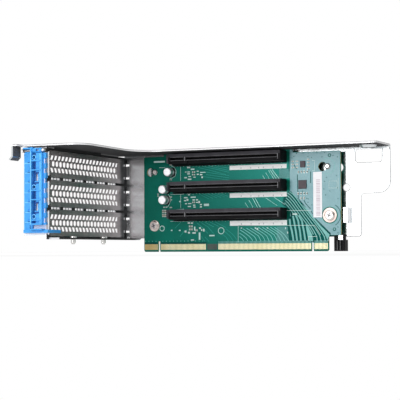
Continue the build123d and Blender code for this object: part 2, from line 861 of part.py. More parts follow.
def corner_foot():
    """The plastic foot clipped on the tab: ribbed block with two legs beside the tab."""
    front = plate_face - (foot_depth - sheet) / 2
    back = front + foot_depth
    right = foot_left + foot_width
    body = block(foot_left, right, front, back, 0, foot_body_height)
    body = fillet(body.edges().filter_by(Axis.Z), foot_rib_depth)
    pitch = foot_width / (foot_groove_count + 1)
    for i in range(1, foot_groove_count + 1):
        x = foot_left + i * pitch
        groove = block(x - pitch / 4, x + pitch / 4, front - 1, front + foot_rib_depth, 1,
                       foot_body_height + 1)
        body -= groove
    top = foot_body_height + foot_leg_height
    for x in (foot_left, right - foot_leg_width):
        body += block(x, x + foot_leg_width, front + foot_rib_depth, plate_face, foot_body_height,
                      top)
    middle = foot_left + foot_width / 2
    body -= block(middle - foot_tab_width / 2, middle + foot_tab_width / 2, plate_face,
                  plate_back, plate_bottom - foot_tab_drop, top)
    return body


def capacitor_bases():
    """Moulded bases with two cut corners."""
    bases = []
    for x, z in can_places:
        half = can_base_width / 2
        base = block(x - half, x + half, front_face - can_base_height, front_face, z - half,
                     z + half)
        cut = [e for e in base.edges().filter_by(Axis.Y) if e.center().X > x]
        bases.append(chamfer(cut, half / 3))
    return bases


def capacitor_cans():
    """Aluminium cans with a crimp groove near the base."""
    cans = []
    for x, z in can_places:
        seat = front_face - can_base_height
        can = rod_y(x, seat - can_height, seat, z, can_diameter / 2)
        rim = [e for e in can.edges() if abs(e.center().Y - (seat - can_height)) < 0.01]
        can = chamfer(rim, can_groove_depth * 2)
        groove = rod_y(x, seat - can_height / 4, seat - can_height / 8, z, can_diameter)
        groove -= rod_y(x, seat - can_height, seat, z, can_diameter / 2 - can_groove_depth)
        cans.append(can - groove)
    return cans


def chip(place, size):
    """A flat package with a bevelled rim."""
    x, z = place
    width, height, thickness = size
    package = block(x - width / 2, x + width / 2, front_face - thickness, front_face,
                    z - height / 2, z + height / 2)
    rim = [e for e in package.edges() if abs(e.center().Y - (front_face - thickness)) < 0.01]
    return chamfer(rim, thickness / 6)


def spread(middle, count):
    """Evenly spaced places about a middle."""
    return [middle + (i - (count - 1) / 2) * passive_pitch for i in range(count)]


def passive_places():
    """Small resistors and capacitors round the chips and beside the slots' left ends."""
    x, z = regulator_place
    side = regulator_size[0] / 2 + 1.5 * passive_length
    places = [(x - side, height, 0) for height in spread(z, 3)]
    places += [(x - side - 2 * passive_length, height, 0) for height in spread(z, 3)]
    places += [(x + side, height, 0) for height in spread(z, 4)]
    places += [(across, z - 2.5 * passive_pitch, 90) for across in spread(x, 4)]
    x, z = buffer_place
    below = z - buffer_size[1] / 2
    places += [(across, below - 1.5 * passive_pitch, 90) for across in spread(x, 4)]
    places += [(across, below - 3 * passive_pitch, 90) for across in spread(x, 2)]
    x = slot_start - can_base_width / 2
    for (_, upper), count in zip(can_places, (2, 2)):
        places += [(x, height, 0) for height in spread(upper - 3 * passive_pitch, count)]
    places += [(x, height, 0) for height in spread(can_places[0][1] + 3 * passive_pitch, 2)]
    places += [(x, height, 0) for height in spread(can_places[2][1] - 4 * passive_pitch, 4)]
    return places


def small_parts():
    """The small chip components, each its own solid."""
    parts = []
    for x, z, turn in passive_places():
        length, width = (passive_width, passive_length) if turn else (passive_length,
                                                                      passive_width)
        parts.append(block(x - length / 2, x + length / 2, front_face - passive_height,
                           front_face, z - width / 2, z + width / 2))
    return parts


def board_label():
    """A plain printed label."""
    top = top_under_z - label_drop
    return block(label_left, label_left + label_width, front_face - label_thickness, front_face,
                 top - label_height, top)


def export(name, solids):
    """Writes one node, which may hold several separate solids."""
    shape = Compound(children=list(solids)) if isinstance(solids, list) else solids
    shape.label = name
    export_step(shape, f"{parts_folder}/{name}.step")


def main():
    os.makedirs(parts_folder, exist_ok=True)
    export("main_bracket", main_bracket())
    export("rear_frame", rear_frame())
    export("riser_board", riser_board())
    export("edge_contacts_front", edge_contacts(front_face - finger_thickness, front_face))
    export("edge_contacts_back", edge_contacts(back_face, back_face + finger_thickness))
    for number, (slot_z, filler_z) in enumerate(zip(slot_heights, filler_heights), start=1):
        export(f"card_slot_{number}", card_slot(slot_z))
        export(f"slot_filler_{number}", slot_filler(filler_z))
    export("card_latch", card_latch())
    export("latch_pin", latch_pin())
    export("board_screws", board_screws())
    export("board_standoffs", board_standoffs())
    export("board_studs", board_studs())
    export("guide_pins", guide_pins())
    export("frame_rivets", frame_rivets())
    export("corner_foot", corner_foot())
    export("capacitor_bases", capacitor_bases())
    export("capacitor_cans", capacitor_cans())
    export("regulator_chip", chip(regulator_place, regulator_size))
    export("buffer_chip", chip(buffer_place, buffer_size))
    export("small_parts", small_parts())
    export("board_label", board_label())


main()
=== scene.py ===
from math import asin, cos, degrees, pi, radians, sin
from random import Random

import bmesh
import bpy
from mathutils import Matrix, Vector
from mathutils.geometry import tessellate_polygon


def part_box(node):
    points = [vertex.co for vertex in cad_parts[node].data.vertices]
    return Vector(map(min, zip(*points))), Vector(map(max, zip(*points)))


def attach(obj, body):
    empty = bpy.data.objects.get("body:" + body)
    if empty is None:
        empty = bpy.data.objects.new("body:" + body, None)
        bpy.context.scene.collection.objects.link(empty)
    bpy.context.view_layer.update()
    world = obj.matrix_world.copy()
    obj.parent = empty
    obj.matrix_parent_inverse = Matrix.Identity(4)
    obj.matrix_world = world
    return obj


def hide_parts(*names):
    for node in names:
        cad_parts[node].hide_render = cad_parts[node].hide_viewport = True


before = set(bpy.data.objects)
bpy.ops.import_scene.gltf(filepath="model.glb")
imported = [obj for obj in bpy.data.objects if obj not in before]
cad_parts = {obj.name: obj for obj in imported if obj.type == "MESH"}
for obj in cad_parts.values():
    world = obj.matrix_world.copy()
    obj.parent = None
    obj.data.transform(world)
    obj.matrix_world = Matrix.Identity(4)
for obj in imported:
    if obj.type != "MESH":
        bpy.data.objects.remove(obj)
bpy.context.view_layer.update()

# A three slot riser card in its sheet metal bracket.
# Lengths are millimetres until a piece is made. X runs along the board away from the rear wall,
# Y from the slots through the board to the back plate, Z up.
MM = 0.001

# Camera
camera_place = (376.148, -836.625, 0.610)
camera_yaw = 25.7278
camera_pitch = 2.3045
camera_roll = -0.2555
camera_lens = 113.78

# Room: lamps as place, target, width, height and radiance; fades as parts of a direction
floor_size = 1400.0
floor_white = 0.88
room_fill = 0.42
room_bright = 0.9
room_dark = 0.07
dark_towards = (0.40, -0.91, 0.05)
dark_edge = (0.80, 0.95)
low_fade = (-0.04, 0.01)
back_fade = (-0.3, 0.1)
key_lamp = ((-42.0, -640.0, 170.0), (0.0, 0.0, 60.0), 420.0, 420.0, 4.5)
top_lamp = ((-40.0, -160.0, 700.0), (0.0, -20.0, 30.0), 600.0, 500.0, 2.2)

# Where tones change: the gold's browner left end, and the painted shade and highlights on the
# plating
brown_end_x = (-66.0, -52.0)
front_y = (-101.5, -100.5)
deep_y = (-4.0, 0.0)
under_z = (69.0, 70.5)
rim_z = (72.8, 72.9)
lip_z = (73.6, 73.7)

# Circuit board; its layers lie one skin apart
board_front = -0.8
board_back = 0.8
mask_skin = 0.02
pour_layer, gap_layer, track_layer, print_layer, top_layer = [
    board_front - layer * mask_skin for layer in range(1, 6)]
finger_low = 1.5
finger_high = 5.7
finger_pitch = 1.0
finger_margin = 0.6
finger_width = 0.72
finger_proud = 0.1
finger_runs = ((-73.1, -61.25), (-59.75, -21.2), (-12.4, 60.45), (61.95, 73.1))
lead_end = 7.2

# Hardware on the board: centres as X and Z, rings with their inner and outer radius
left_screw = (-64.4, 19.4)
right_screw = (74.1, 25.2)
screw_front = -2.42
screw_ring = (2.25, 2.5)
recess_root = 0.42
recess_tip = 0.34
recess_reach = 1.75
washer_rims = ((2.95, -2.43), (3.74, -0.86))
washer_steps = 32
washer_rings = ((*left_screw, 2.55, 2.95), (*right_screw, 2.55, 2.9))
stud_rings = ((72.8, 59.5, 1.2, 2.0), (-63.6, 59.5, 1.5, 1.9))
stud_front = -1.88
keyhole = (69.0, 59.5, 3.3, 1.75, 3.8)

# Card slots; rises and halves are heights from a slot's middle
slot_heights = (27.28, 47.6, 67.92)
slot_pitch = 20.32
slot_start = -47.1
slot_length = 89.0
slot_mouth_y = -12.05
mouth_half = 1.0
mouth_right = 39.3
key_left = -34.5
mouth_spans = ((-45.6, key_left), (-32.6, mouth_right))
end_block = 1.5
# Half heights of painted highlights along the mouth's lips, the slot's end and the key's bridge
lip_half = 1.2
end_half = 2.7
bridge_half = 1.6
# The upper rail, painted lighter, and the slot's stepped end
rail_rise = (1.35, 3.65)
step_rise = (-3.0, 3.4)
# Painted shade on the mouth's lips, and painted shadow under each slot
shade_rises = ((0.6, 1.08), (-1.08, -0.6))
shadow_rise = (-4.75, -3.75)
tail_rise = -4.9
spring_pitch = 1.0
spring_margin = 0.4
spring_width = 0.45
spring_lip = 2.0
spring_deep = 6.5
tail_count = 33
tail_pitch = 2.6

# Bracket: paths as X and Z; corners as centre, radius, start and end angle, and steps
plate_face = 5.7
edge_width = 0.5
# Outlines of the wing and its window, the wing's hole and the board stop, drawn as lines of
# painted shade
wing_ends = ((116.0, 72.0), (84.0, 10.4))
wing_corners = ((107.9, 48.8, 8.1, 0, -90, 9), (97.2, 38.1, 2.4, 90, 180, 6),
                (92.8, 12.2, 1.8, 0, -90, 6))
window_ends = ((90.65, 71.2), (110.85, 71.2))
window_corners = ((93.3, 64.1, 2.65, 180, 270, 6), (108.2, 64.1, 2.65, 270, 360, 6))
wing_hole = (84.6, 44.6, 2.6, 3.1)
stop_front = 1.55
stop_paths = (((86.95, 19.9), (86.95, 30.6), (82.9, 30.6)), ((86.95, 19.9), (82.9, 19.9)))
# Side face of the board stop, where a painted highlight lies
stop_side = (87.13, 1.7, 5.65, 20.0, 30.5)
hook_side = (-113.32, -115.2, -105.7, 65.6, 72.7)
hook_curl = ((-113.32, 65.35), (-115.5, 63.17))

# Latch: faces as Y, lines as X, low Z, high Z and width, channel rows as low Z, high Z and end X
filler_drop = 6.92
latch_floor = -105.95
latch_strip = -108.05
latch_ridge = -109.35
tooth_front = -107.35
post_front = -108.32
post_x = -100.85
post_heights = [z - filler_drop + 4.1 for z in slot_heights]
bore_radius = 0.72
bore_floor = -105.2
tooth_heights = [20.2 + i * slot_pitch / 3 for i in range(7)]
# Where painted highlights lie on the comb
tooth_span = (-93.2, -92.3)
notch_span = (-107.4, -104.9)
comb_span = (-110.2, -104.6)
# Where painted shade lies in the latch's channel and its gaps, and along its arm
channel_rows = ((19.9, 26.6, -99.3), (26.6, 27.75, -96.9), (33.35, 34.6, -96.9),
                (34.6, 46.9, -99.3), (46.9, 48.07, -96.9), (53.67, 54.9, -96.9),
                (54.9, 67.9, -99.3))
channel_left = -102.25
channel_step = -100.3
channel_line = (-95.15, 20.0, 67.9, 0.3)
channel_gaps = ((27.75, 33.35), (48.07, 53.67))
arm_shade_line = ((-105.4, 20.5), (-105.4, 16.6), (-104.2, 16.0))
# Painted highlights along the latch's ridge, strip and comb
ridge_line = (-102.85, 19.0, 69.3, 0.4)
strip_line = (-95.9, 20.0, 67.6, 0.8)
comb_line = (-110.1, 13.0, 66.0, 0.3)
# Filler bends, where painted highlights lie
bend_side = (-92.72, -103.3, -101.7)
bend_half = 8.2

# Foot, with painted highlights on its ribs
foot_front = 1.95
foot_lines = (78.4, 80.6)
foot_span = (0.8, 7.4)

# Copper and print on the board's front: boxes as two X and two Z, paths as X and Z
gap_width = 0.55
bundle_width = 0.62
thick_width = 1.25
curve_width = 0.5
bright_width = 0.36
fine_width = 0.26
faint_width = 0.35
silk_width = 0.25
stripes = ((-2.6, 41.9, 59.2, 62.3), (-2.6, 41.9, 39.0, 42.3), (-2.6, 41.9, 18.7, 22.2))
mark_rows = (60.2, 39.9, 19.8)
mark_places = (6.5, 14.2, 20.4, 24.0, 31.5, 38.2)
silk_dots = ((-47.3, 58.7), (-51.2, 38.1))
silk_arcs = ((-50.8, 59.1, 4.6, -100, 80), (-57.7, 38.4, 6.6, -60, 60))
silk_rings = ((-58.0, 17.4, 2.0), (-9.6, 15.2, 2.4))
pour_rings = ((*right_screw, 5.9, 6.3), (72.6, 59.6, 5.4, 5.7, -110, 110))
bare_rings = ((*right_screw, 7.9, 8.3, -60, 60), (*right_screw, 5.3, 5.9))
screw_lands = ((*right_screw, 2.2, 5.1), (*left_screw, 2.2, 4.1))
thin_pours = ((36.2, 44.4, 51.9, 58.6), (34.0, 44.6, 7.3, 17.6))
# The pour's outline; its pale tone is partly painted lamp reflection
pour_outline = ((44.4, 5.9), (72.9, 5.9), (73.1, 11.2), (82.1, 11.4), (82.1, 70.1), (47.0, 70.1),
                (46.3, 72.2), (44.4, 72.2))
fan_traces = (
    ((30.7, 58.6), (33.0, 55.7), (36.0, 52.0)),
    ((29.1, 58.6), (31.4, 55.3), (34.0, 51.7)),
    ((28.0, 58.0), (29.9, 55.0), (32.2, 51.7)),
    ((26.8, 57.3), (28.6, 54.7), (30.3, 51.8)),
    ((25.7, 56.5), (27.2, 54.3), (28.6, 51.8)),
    ((24.6, 55.6), (26.8, 51.9)),
    ((23.5, 54.4), (25.0, 52.0)),
    ((17.3, 38.5), (19.3, 35.2), (21.4, 31.6)),
    ((15.4, 38.5), (17.3, 35.2), (19.4, 31.6)),
    ((13.9, 37.8), (15.7, 34.9), (17.5, 31.6)),
    ((12.5, 37.1), (14.2, 34.4), (15.7, 31.7)),
    ((11.0, 36.2), (12.6, 33.9), (13.8, 31.7)),
    ((9.6, 35.2), (12.0, 31.7)),
    ((8.3, 34.1), (9.9, 31.8)),
    ((25.9, 38.3), (29.7, 35.7), (34.4, 32.7)),
    ((29.0, 38.6), (32.8, 36.0), (37.4, 33.0)),
    ((32.1, 38.7), (35.9, 36.2), (40.5, 33.3)),
    ((35.2, 38.8), (39.0, 36.4), (42.0, 34.4)),
)
curved_traces = (
    ((32.3, 17.2), (35.0, 15.4), (37.7, 13.7), (40.0, 11.7), (41.8, 9.5), (43.4, 7.2)),
    ((29.2, 17.3), (31.9, 15.6), (35.0, 13.8), (37.3, 12.0), (38.8, 9.9), (40.3, 7.2)),
    ((26.1, 17.3), (29.2, 15.4), (32.3, 13.6), (34.7, 11.8), (36.0, 9.7), (37.2, 7.3)),
    ((23.0, 17.3), (26.5, 15.2), (29.6, 13.5), (32.1, 11.7), (33.4, 9.6), (34.3, 7.3)),
    ((19.9, 17.4), (23.4, 15.2), (26.5, 13.4), (29.2, 11.5), (30.3, 9.6), (31.3, 7.3)),
    ((16.8, 17.1), (20.3, 15.0), (23.4, 13.2), (26.3, 11.2), (27.2, 9.3), (28.2, 7.3)),
    ((13.7, 16.9), (17.2, 14.9), (20.3, 13.1), (23.0, 11.1), (24.3, 9.2), (24.9, 7.4)),
    ((10.5, 16.8), (14.0, 14.8), (17.2, 12.9), (19.9, 11.1), (21.0, 9.0), (21.8, 7.4)),
    ((7.8, 16.4), (10.9, 14.5), (14.0, 12.6), (16.6, 10.8), (17.9, 9.0), (18.5, 7.4)),
    ((5.4, 15.6), (8.1, 14.1), (10.9, 12.3), (13.2, 10.5), (14.8, 8.7), (15.4, 7.4)),
    ((5.0, 13.4), (7.7, 11.7), (10.2, 9.8), (11.6, 7.5)),
    ((5.0, 10.9), (6.9, 9.4), (8.3, 7.5)),
)
bundle_traces = (
    ((44.0, 42.3), (46.7, 40.5), (49.1, 37.8), (51.9, 34.0), (55.3, 29.4), (58.6, 25.1),
     (61.8, 21.3), (64.6, 17.7), (67.4, 14.2), (69.9, 10.3), (70.6, 7.0)),
    ((42.2, 41.6), (45.1, 39.6), (47.9, 36.5), (51.1, 32.1), (54.5, 27.6), (57.9, 23.3),
     (61.2, 19.0), (64.0, 14.9), (66.4, 11.2), (67.7, 7.0)),
    ((41.9, 39.9), (44.3, 37.9), (47.0, 35.0), (50.1, 30.7), (53.4, 26.4), (56.8, 21.9),
     (59.9, 17.8), (62.4, 13.9), (64.3, 10.4), (64.7, 7.1)),
    ((41.3, 38.1), (43.6, 36.1), (46.2, 33.1), (49.2, 29.1), (52.2, 25.1), (55.4, 21.0),
     (58.5, 17.5), (60.8, 13.7), (61.8, 11.8)),
    ((40.7, 36.3), (43.0, 34.2), (45.4, 31.3), (48.2, 27.7), (50.7, 24.6)),
    ((40.3, 34.6), (42.2, 32.6), (44.7, 29.6), (47.2, 26.3)),
)
thick_traces = (
    ((44.0, 23.0), (44.4, 18.7), (45.6, 14.4), (46.4, 10.2), (46.7, 7.2)),
    ((46.5, 25.1), (47.4, 20.8), (48.2, 16.5), (48.9, 12.3), (49.6, 7.2)),
    ((48.4, 26.1), (50.4, 21.8), (51.0, 17.9), (51.8, 13.7), (52.5, 7.2)),
    ((50.9, 25.3), (53.3, 21.4), (54.0, 17.5), (54.8, 13.6), (55.8, 7.1)),
)
bundle_ground = (
    (39.4, 38.0), (42.9, 42.2), (45.1, 42.7), (50.4, 37.0), (56.4, 30.5), (61.6, 24.1),
    (68.3, 17.8), (74.9, 12.2), (71.9, 6.6), (43.4, 6.8), (42.4, 18.0), (42.4, 23.3),
    (45.0, 25.1), (44.3, 28.6), (41.2, 31.2), (38.2, 33.7)
)
bundle_wide = (
    ((56.0, 20.4), (58.6, 16.0), (60.9, 11.5), (61.6, 7.1), (58.3, 7.1), (57.5, 10.8),
     (56.5, 15.7)),
    ((52.7, 33.7), (57.0, 30.2), (62.0, 23.7), (67.5, 17.7), (73.9, 11.6), (72.2, 7.5),
     (71.6, 9.2), (70.6, 11.4), (67.7, 15.3), (64.1, 19.6), (60.1, 24.6), (57.3, 28.3)),
)
gap_lines = (
    ((50.1, 54.4), (50.2, 45.5), (50.7, 37.0)),
    ((60.1, 56.2), (59.9, 48.1)),
    ((54.9, 36.2), (56.0, 33.9), (59.7, 29.9)),
    ((60.4, 28.4), (61.3, 26.2)),
    ((63.1, 23.2), (68.6, 18.0), (71.2, 15.6), (74.6, 12.2)),
    ((52.1, 35.7), (56.9, 29.8)),
    ((46.8, 62.3), (49.5, 58.3)),
    ((43.6, 63.9), (43.9, 56.7)),
)
faint_traces = (
    ((-28.1, 62.0), (-20.0, 60.0), (-5.5, 56.0)),
    ((-24.0, 62.5), (-15.1, 60.6), (-3.1, 57.6)),
    ((-20.0, 62.8), (-11.1, 60.8), (-3.1, 59.0)),
    ((-15.9, 63.0), (-3.1, 60.6)),
    ((-24.1, 55.1), (-3.1, 52.0)),
    ((-21.6, 56.5), (-3.1, 53.6)),
    ((-21.6, 58.3), (-3.1, 55.2)),
    ((-27.4, 42.4), (-19.3, 38.6)),
    ((-24.1, 42.5), (-16.1, 38.9)),
    ((-20.9, 42.6), (-12.8, 39.2)),
    ((-17.7, 42.6), (-9.6, 39.5)),
    ((-14.4, 42.7), (-6.4, 39.7)),
    ((-11.2, 42.8), (-4.0, 40.1)),
    ((-29.1, 21.1), (-24.3, 17.4), (-20.2, 13.3)),
    ((-25.9, 21.4), (-20.2, 18.1), (-15.4, 12.9)),
    ((-22.6, 21.5), (-15.4, 18.0)),
    ((-18.6, 21.6), (-11.3, 18.3)),
    ((-14.5, 21.7), (-5.7, 17.5)),
    ((-9.7, 13.6), (-5.8, 10.6), (-3.4, 7.0)),
    ((-7.3, 15.0), (-2.6, 11.3), (0.6, 7.0)),
    ((-5.7, 16.5), (-0.2, 12.4), (3.0, 8.4)),
    ((-43.1, 11.3), (-39.8, 15.0), (-36.5, 16.4)),
    ((-47.3, 17.4), (-42.3, 21.9)),
    ((-22.7, 10.8), (-19.4, 7.5)),
    ((-25.9, 11.6), (-22.7, 7.5)),
)
silk_bars = (
    (-64.7, -55.4, 66.6, 67.8), (-19.2, -14.9, 11.3, 12.2), (46.2, 49.7, 25.8, 26.9),
    (-23.4, -19.3, 33.4, 35.1), (40.5, 41.1, 15.8, 17.0), (42.1, 42.7, 12.6, 14.0),
    (-27.7, -26.4, 8.8, 14.1), (-34.0, -31.1, 60.3, 61.2), (-34.2, -30.0, 39.7, 40.6),
    (-31.5, -30.5, 15.6, 18.5), (-26.4, -22.0, 57.9, 58.5), (-50.6, -49.4, 15.5, 16.3),
    (-44.0, -42.6, 15.4, 16.2), (-43.7, -42.5, 36.7, 37.6)
)
silk_lines = (
    ((3.9, 6.9), (4.0, 18.8), (62.8, 18.2), (67.2, 11.4)),
    ((41.4, 29.0), (60.2, 28.7)),
    ((64.5, 10.3), (58.0, 10.4), (58.0, 7.3)),
    ((-42.4, 62.8), (-42.5, 52.6)),
    ((-42.4, 42.6), (-42.4, 32.4)),
    ((-50.9, 42.6), (-39.7, 42.5)),
    ((-51.0, 22.5), (-29.9, 22.6)),
    ((-60.2, 62.8), (-55.1, 62.6)),
    ((80.6, 51.0), (80.5, 43.0)),
    ((73.8, 49.1), (79.7, 49.0), (79.6, 44.1), (73.7, 44.2), (73.8, 49.1)),
    ((61.3, 64.0), (63.1, 63.9), (63.1, 56.8), (61.3, 56.9)),
    ((-51.0, 31.1), (-39.8, 31.5)),
)
pads = (
    (-37.0, -34.5, 61.7, 62.7), (-36.8, -34.7, 58.5, 59.2), (-36.8, -34.7, 57.1, 57.8),
    (-36.0, -33.9, 55.1, 55.7), (-36.5, -33.5, 53.0, 53.9), (-31.9, -30.0, 54.5, 55.2),
    (-29.1, -27.5, 58.8, 59.5), (-29.1, -27.5, 56.5, 57.3), (-26.5, -24.6, 56.2, 57.0),
    (-25.3, -24.1, 54.0, 55.2), (-38.8, -37.6, 58.6, 59.2), (-39.3, -37.2, 54.3, 55.1),
    (-39.7, -36.8, 39.5, 40.3), (-36.4, -34.8, 41.6, 42.5), (-39.7, -38.1, 37.3, 38.1),
    (-36.4, -33.6, 35.2, 35.8), (-36.6, -34.0, 33.0, 33.7), (-38.9, -37.3, 35.1, 35.7),
    (-32.7, -30.7, 37.7, 38.5), (-29.9, -28.2, 37.7, 38.5), (-29.9, -28.2, 35.9, 36.6),
    (-32.3, -30.4, 33.9, 34.6), (-32.0, -30.2, 32.5, 33.2), (-27.9, -26.6, 35.7, 37.3),
    (-26.5, -25.0, 34.2, 35.0), (-26.5, -25.0, 32.5, 33.3), (-36.7, -34.9, 20.6, 21.8),
    (-34.2, -32.4, 20.6, 21.6), (-39.3, -37.8, 14.2, 15.6), (-36.5, -34.9, 13.4, 14.7),
    (-32.9, -30.1, 13.3, 14.3), (-27.4, -26.0, 16.7, 17.9), (-25.7, -24.8, 15.2, 16.4),
    (-24.1, -23.1, 14.8, 16.8), (-34.1, -31.6, 8.3, 9.0), (-55.0, -53.9, 32.7, 33.7),
    (-56.9, -55.7, 32.7, 33.6), (-61.9, -60.6, 42.8, 43.5), (-61.9, -60.6, 41.3, 42.0),
    (-37.6, -36.1, 37.6, 38.9), (18.6, 19.7, 15.4, 16.9), (17.2, 18.1, 16.3, 17.3),
    (6.0, 7.1, 16.6, 17.3), (26.5, 27.5, 16.4, 17.1)
)
tiny_parts = (
    (-35.5, -32.7, 18.0, 19.3), (-35.4, -32.7, 15.8, 17.1), (-32.7, -30.4, 58.1, 59.2),
    (-32.7, -30.4, 56.3, 57.2), (-30.5, -28.7, 15.0, 16.4), (-32.6, -30.7, 35.8, 36.9),
    (-57.7, -56.4, 29.0, 31.2), (-55.9, -54.4, 28.9, 31.2), (-57.7, -56.4, 26.0, 28.2),
    (-55.9, -54.4, 26.0, 28.2)
)
vias = (
    (-68.5, 65.5), (-66.4, 49.1), (-67.1, 34.9), (-64.4, 25.7), (-39.2, 58.5), (-43.1, 30.2),
    (-11.0, 8.2), (47.6, 67.3), (58.2, 66.9), (60.8, 66.0), (68.7, 66.2), (76.9, 66.9),
    (80.2, 65.8), (79.3, 52.8), (71.9, 51.7), (70.4, 48.9), (70.0, 43.6), (74.4, 42.1),
    (71.1, 39.4), (80.3, 36.7), (58.1, 36.9), (58.0, 34.5), (57.1, 37.3), (80.0, 44.2),
    (51.6, 36.3), (52.2, 17.5), (49.5, 69.4), (54.5, 69.4), (58.6, 69.4), (65.0, 69.4),
    (70.6, 69.3), (-39.0, 9.3), (-41.9, 9.6), (53.9, 42.5), (55.6, 41.2), (80.1, 16.8),
    (80.1, 12.9), (60.9, 32.6), (46.1, 66.3)
)
holes = ((74.3, 67.2), (77.5, 15.3))


def rgb(red, green, blue):
    return (red, green, blue, 1.0)


def spread(low, high, pitch, margin):
    """Even places along a span, centred in it."""
    count = int((high - low - margin) / pitch)
    start = (low + high) / 2 - (count - 1) * pitch / 2
    return [start + i * pitch for i in range(count)]


def arc(x, z, radius, start, end, steps):
    """Points along a round line; its angles are in degrees."""
    turns = [radians(start + (end - start) * i / steps) for i in range(steps + 1)]
    return [(x + radius * cos(a), z + radius * sin(a)) for a in turns]


def outline(ends, corners):
    """A path from one end to the other round its corners."""
    return [ends[0]] + [point for corner in corners for point in arc(*corner)] + [ends[1]]


def keyhole_outline(x, z, radius, half, reach):
    """Corner points of a round hole with a narrower slot to its right."""
    low = degrees(asin(half / radius))
    return arc(x, z, radius, low, 360 - low, 28) + arc(x + reach, z, half, -90, 90, 12)


finger_places = [x for low, high in finger_runs
                 for x in spread(low, high, finger_pitch, finger_margin)]


class Sheet:
    """Collects corners and faces in millimetres, then makes them one piece."""

    def __init__(self):
        self.corners = []
        self.faces = []

    def add(self, corners, faces):
        start = len(self.corners)
        self.corners += corners
        self.faces += [[start + i for i in face] for face in faces]

    def block(self, x0, x1, y0, y1, z0, z1):
        corners = [(x, y, z) for x in (x0, x1) for y in (y0, y1) for z in (z0, z1)]
        self.add(corners, [(0, 1, 3, 2), (4, 6, 7, 5), (0, 4, 5, 1), (2, 3, 7, 6), (0, 2, 6, 4),
                           (1, 5, 7, 3)])

    def patch(self, points, y):
        """A flat outline of X and Z points, facing the front."""
        self.add([(x, y, z) for x, z in points], [list(range(len(points)))])

    def panel(self, x0, x1, z0, z1, y):
        """A flat rectangle, facing the front."""
        self.patch([(x0, z0), (x1, z0), (x1, z1), (x0, z1)], y)

    def panels(self, boxes, y):
        for box in boxes:
            self.panel(*box, y)

    def side_panel(self, x, y0, y1, z0, z1):
        """A flat rectangle, facing along X."""
        self.add([(x, y0, z0), (x, y1, z0), (x, y1, z1), (x, y0, z1)], [(0, 1, 2, 3)])

    def holed_patch(self, loops, y):
        """A flat outline with holes: the first loop is the outside."""
        triangles = tessellate_polygon([[Vector((x, z, 0)) for x, z in loop] for loop in loops])
        points = [point for loop in loops for point in loop]
        self.add([(x, y, z) for x, z in points], [list(face) for face in triangles])

    def ribbon(self, path, width, y):
        """A flat strip along a path of X and Z points, with its joints mitred."""
        points = [Vector(p) for p in path]
        left = []
        right = []
        for i, point in enumerate(points):
            before = (point - points[i - 1]).normalized() if i else None
            after = (points[i + 1] - point).normalized() if i + 1 < len(points) else None
            along = ((before or after) + (after or before)).normalized()
            across = Vector((-along.y, along.x))
            grow = 1.0
            if before and after:
                grow = 1.0 / max(0.5, along.dot(after))
            left.append(point + across * width / 2 * grow)
            right.append(point - across * width / 2 * grow)
        count = len(points)
        corners = [(p.x, y, p.y) for p in left + right]
        self.add(corners, [(i, i + 1, count + i + 1, count + i) for i in range(count - 1)])

    def ribbons(self, paths, width, y):
        for path in paths:
            self.ribbon(path, width, y)

    def upright(self, x, low, high, width, y):
        """A straight strip from one height to another."""
        self.ribbon([(x, low), (x, high)], width, y)

    def ring(self, x, z, inner, outer, start=0.0, end=360.0, *, y):
        """A flat ring or part of one."""
        steps = 24
        count = steps + (end - start < 360.0)
        turns = [radians(start + (end - start) * i / steps) for i in range(count)]
        corners = [(x + r * cos(a), y, z + r * sin(a)) for a in turns for r in (inner, outer)]
        faces = []
        for i in range(steps):
            j = (i + 1) % count
            faces.append((2 * i, 2 * i + 1, 2 * j + 1, 2 * j))
        self.add(corners, faces)

    def disc(self, x, z, radius, y, steps=16):
        self.patch(arc(x, z, radius, 0.0, 360.0, steps)[:-1], y)

    def piece(self, name, finish, body="riser"):
        mesh = bpy.data.meshes.new(name)
        corners = [tuple(c * MM for c in corner) for corner in self.corners]
        mesh.from_pydata(corners, [], self.faces)
        mesh.materials.append(finishes[finish])
        work = bmesh.new()
        work.from_mesh(mesh)
        bmesh.ops.recalc_face_normals(work, faces=work.faces)
        work.to_mesh(mesh)
        work.free()
        made = bpy.data.objects.new(name, mesh)
        bpy.context.scene.collection.objects.link(made)
        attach(made, body)
        return made


class Nodes:
    """Adds shader nodes to a tree and joins them."""

    def __init__(self, tree):
        self.tree = tree
        tree.nodes.clear()

    def node(self, kind, inputs=None, **settings):
        made = self.tree.nodes.new(kind)
        for key, value in settings.items():
            setattr(made, key, value)
        for key, value in (inputs or {}).items():
            self.join(value, made.inputs[key])
        return made

    def join(self, value, socket):
        if isinstance(value, bpy.types.NodeSocket):
            self.tree.links.new(value, socket)
        else:
            socket.default_value = value

    def parts(self, vector):
        """The X, Y and Z of a vector."""
        return self.node("ShaderNodeSeparateXYZ", {"Vector": vector}).outputs

    def span(self, value, low, high, start=0.0, end=1.0):
        made = self.node("ShaderNodeMapRange", {
            "Value": value, "From Min": start, "From Max": end, "To Min": low, "To Max": high})
        return made.outputs["Result"]

    def math(self, operation, first, second=0.0):
        made = self.node("ShaderNodeMath", {0: first, 1: second}, operation=operation)
        return made.outputs["Value"]


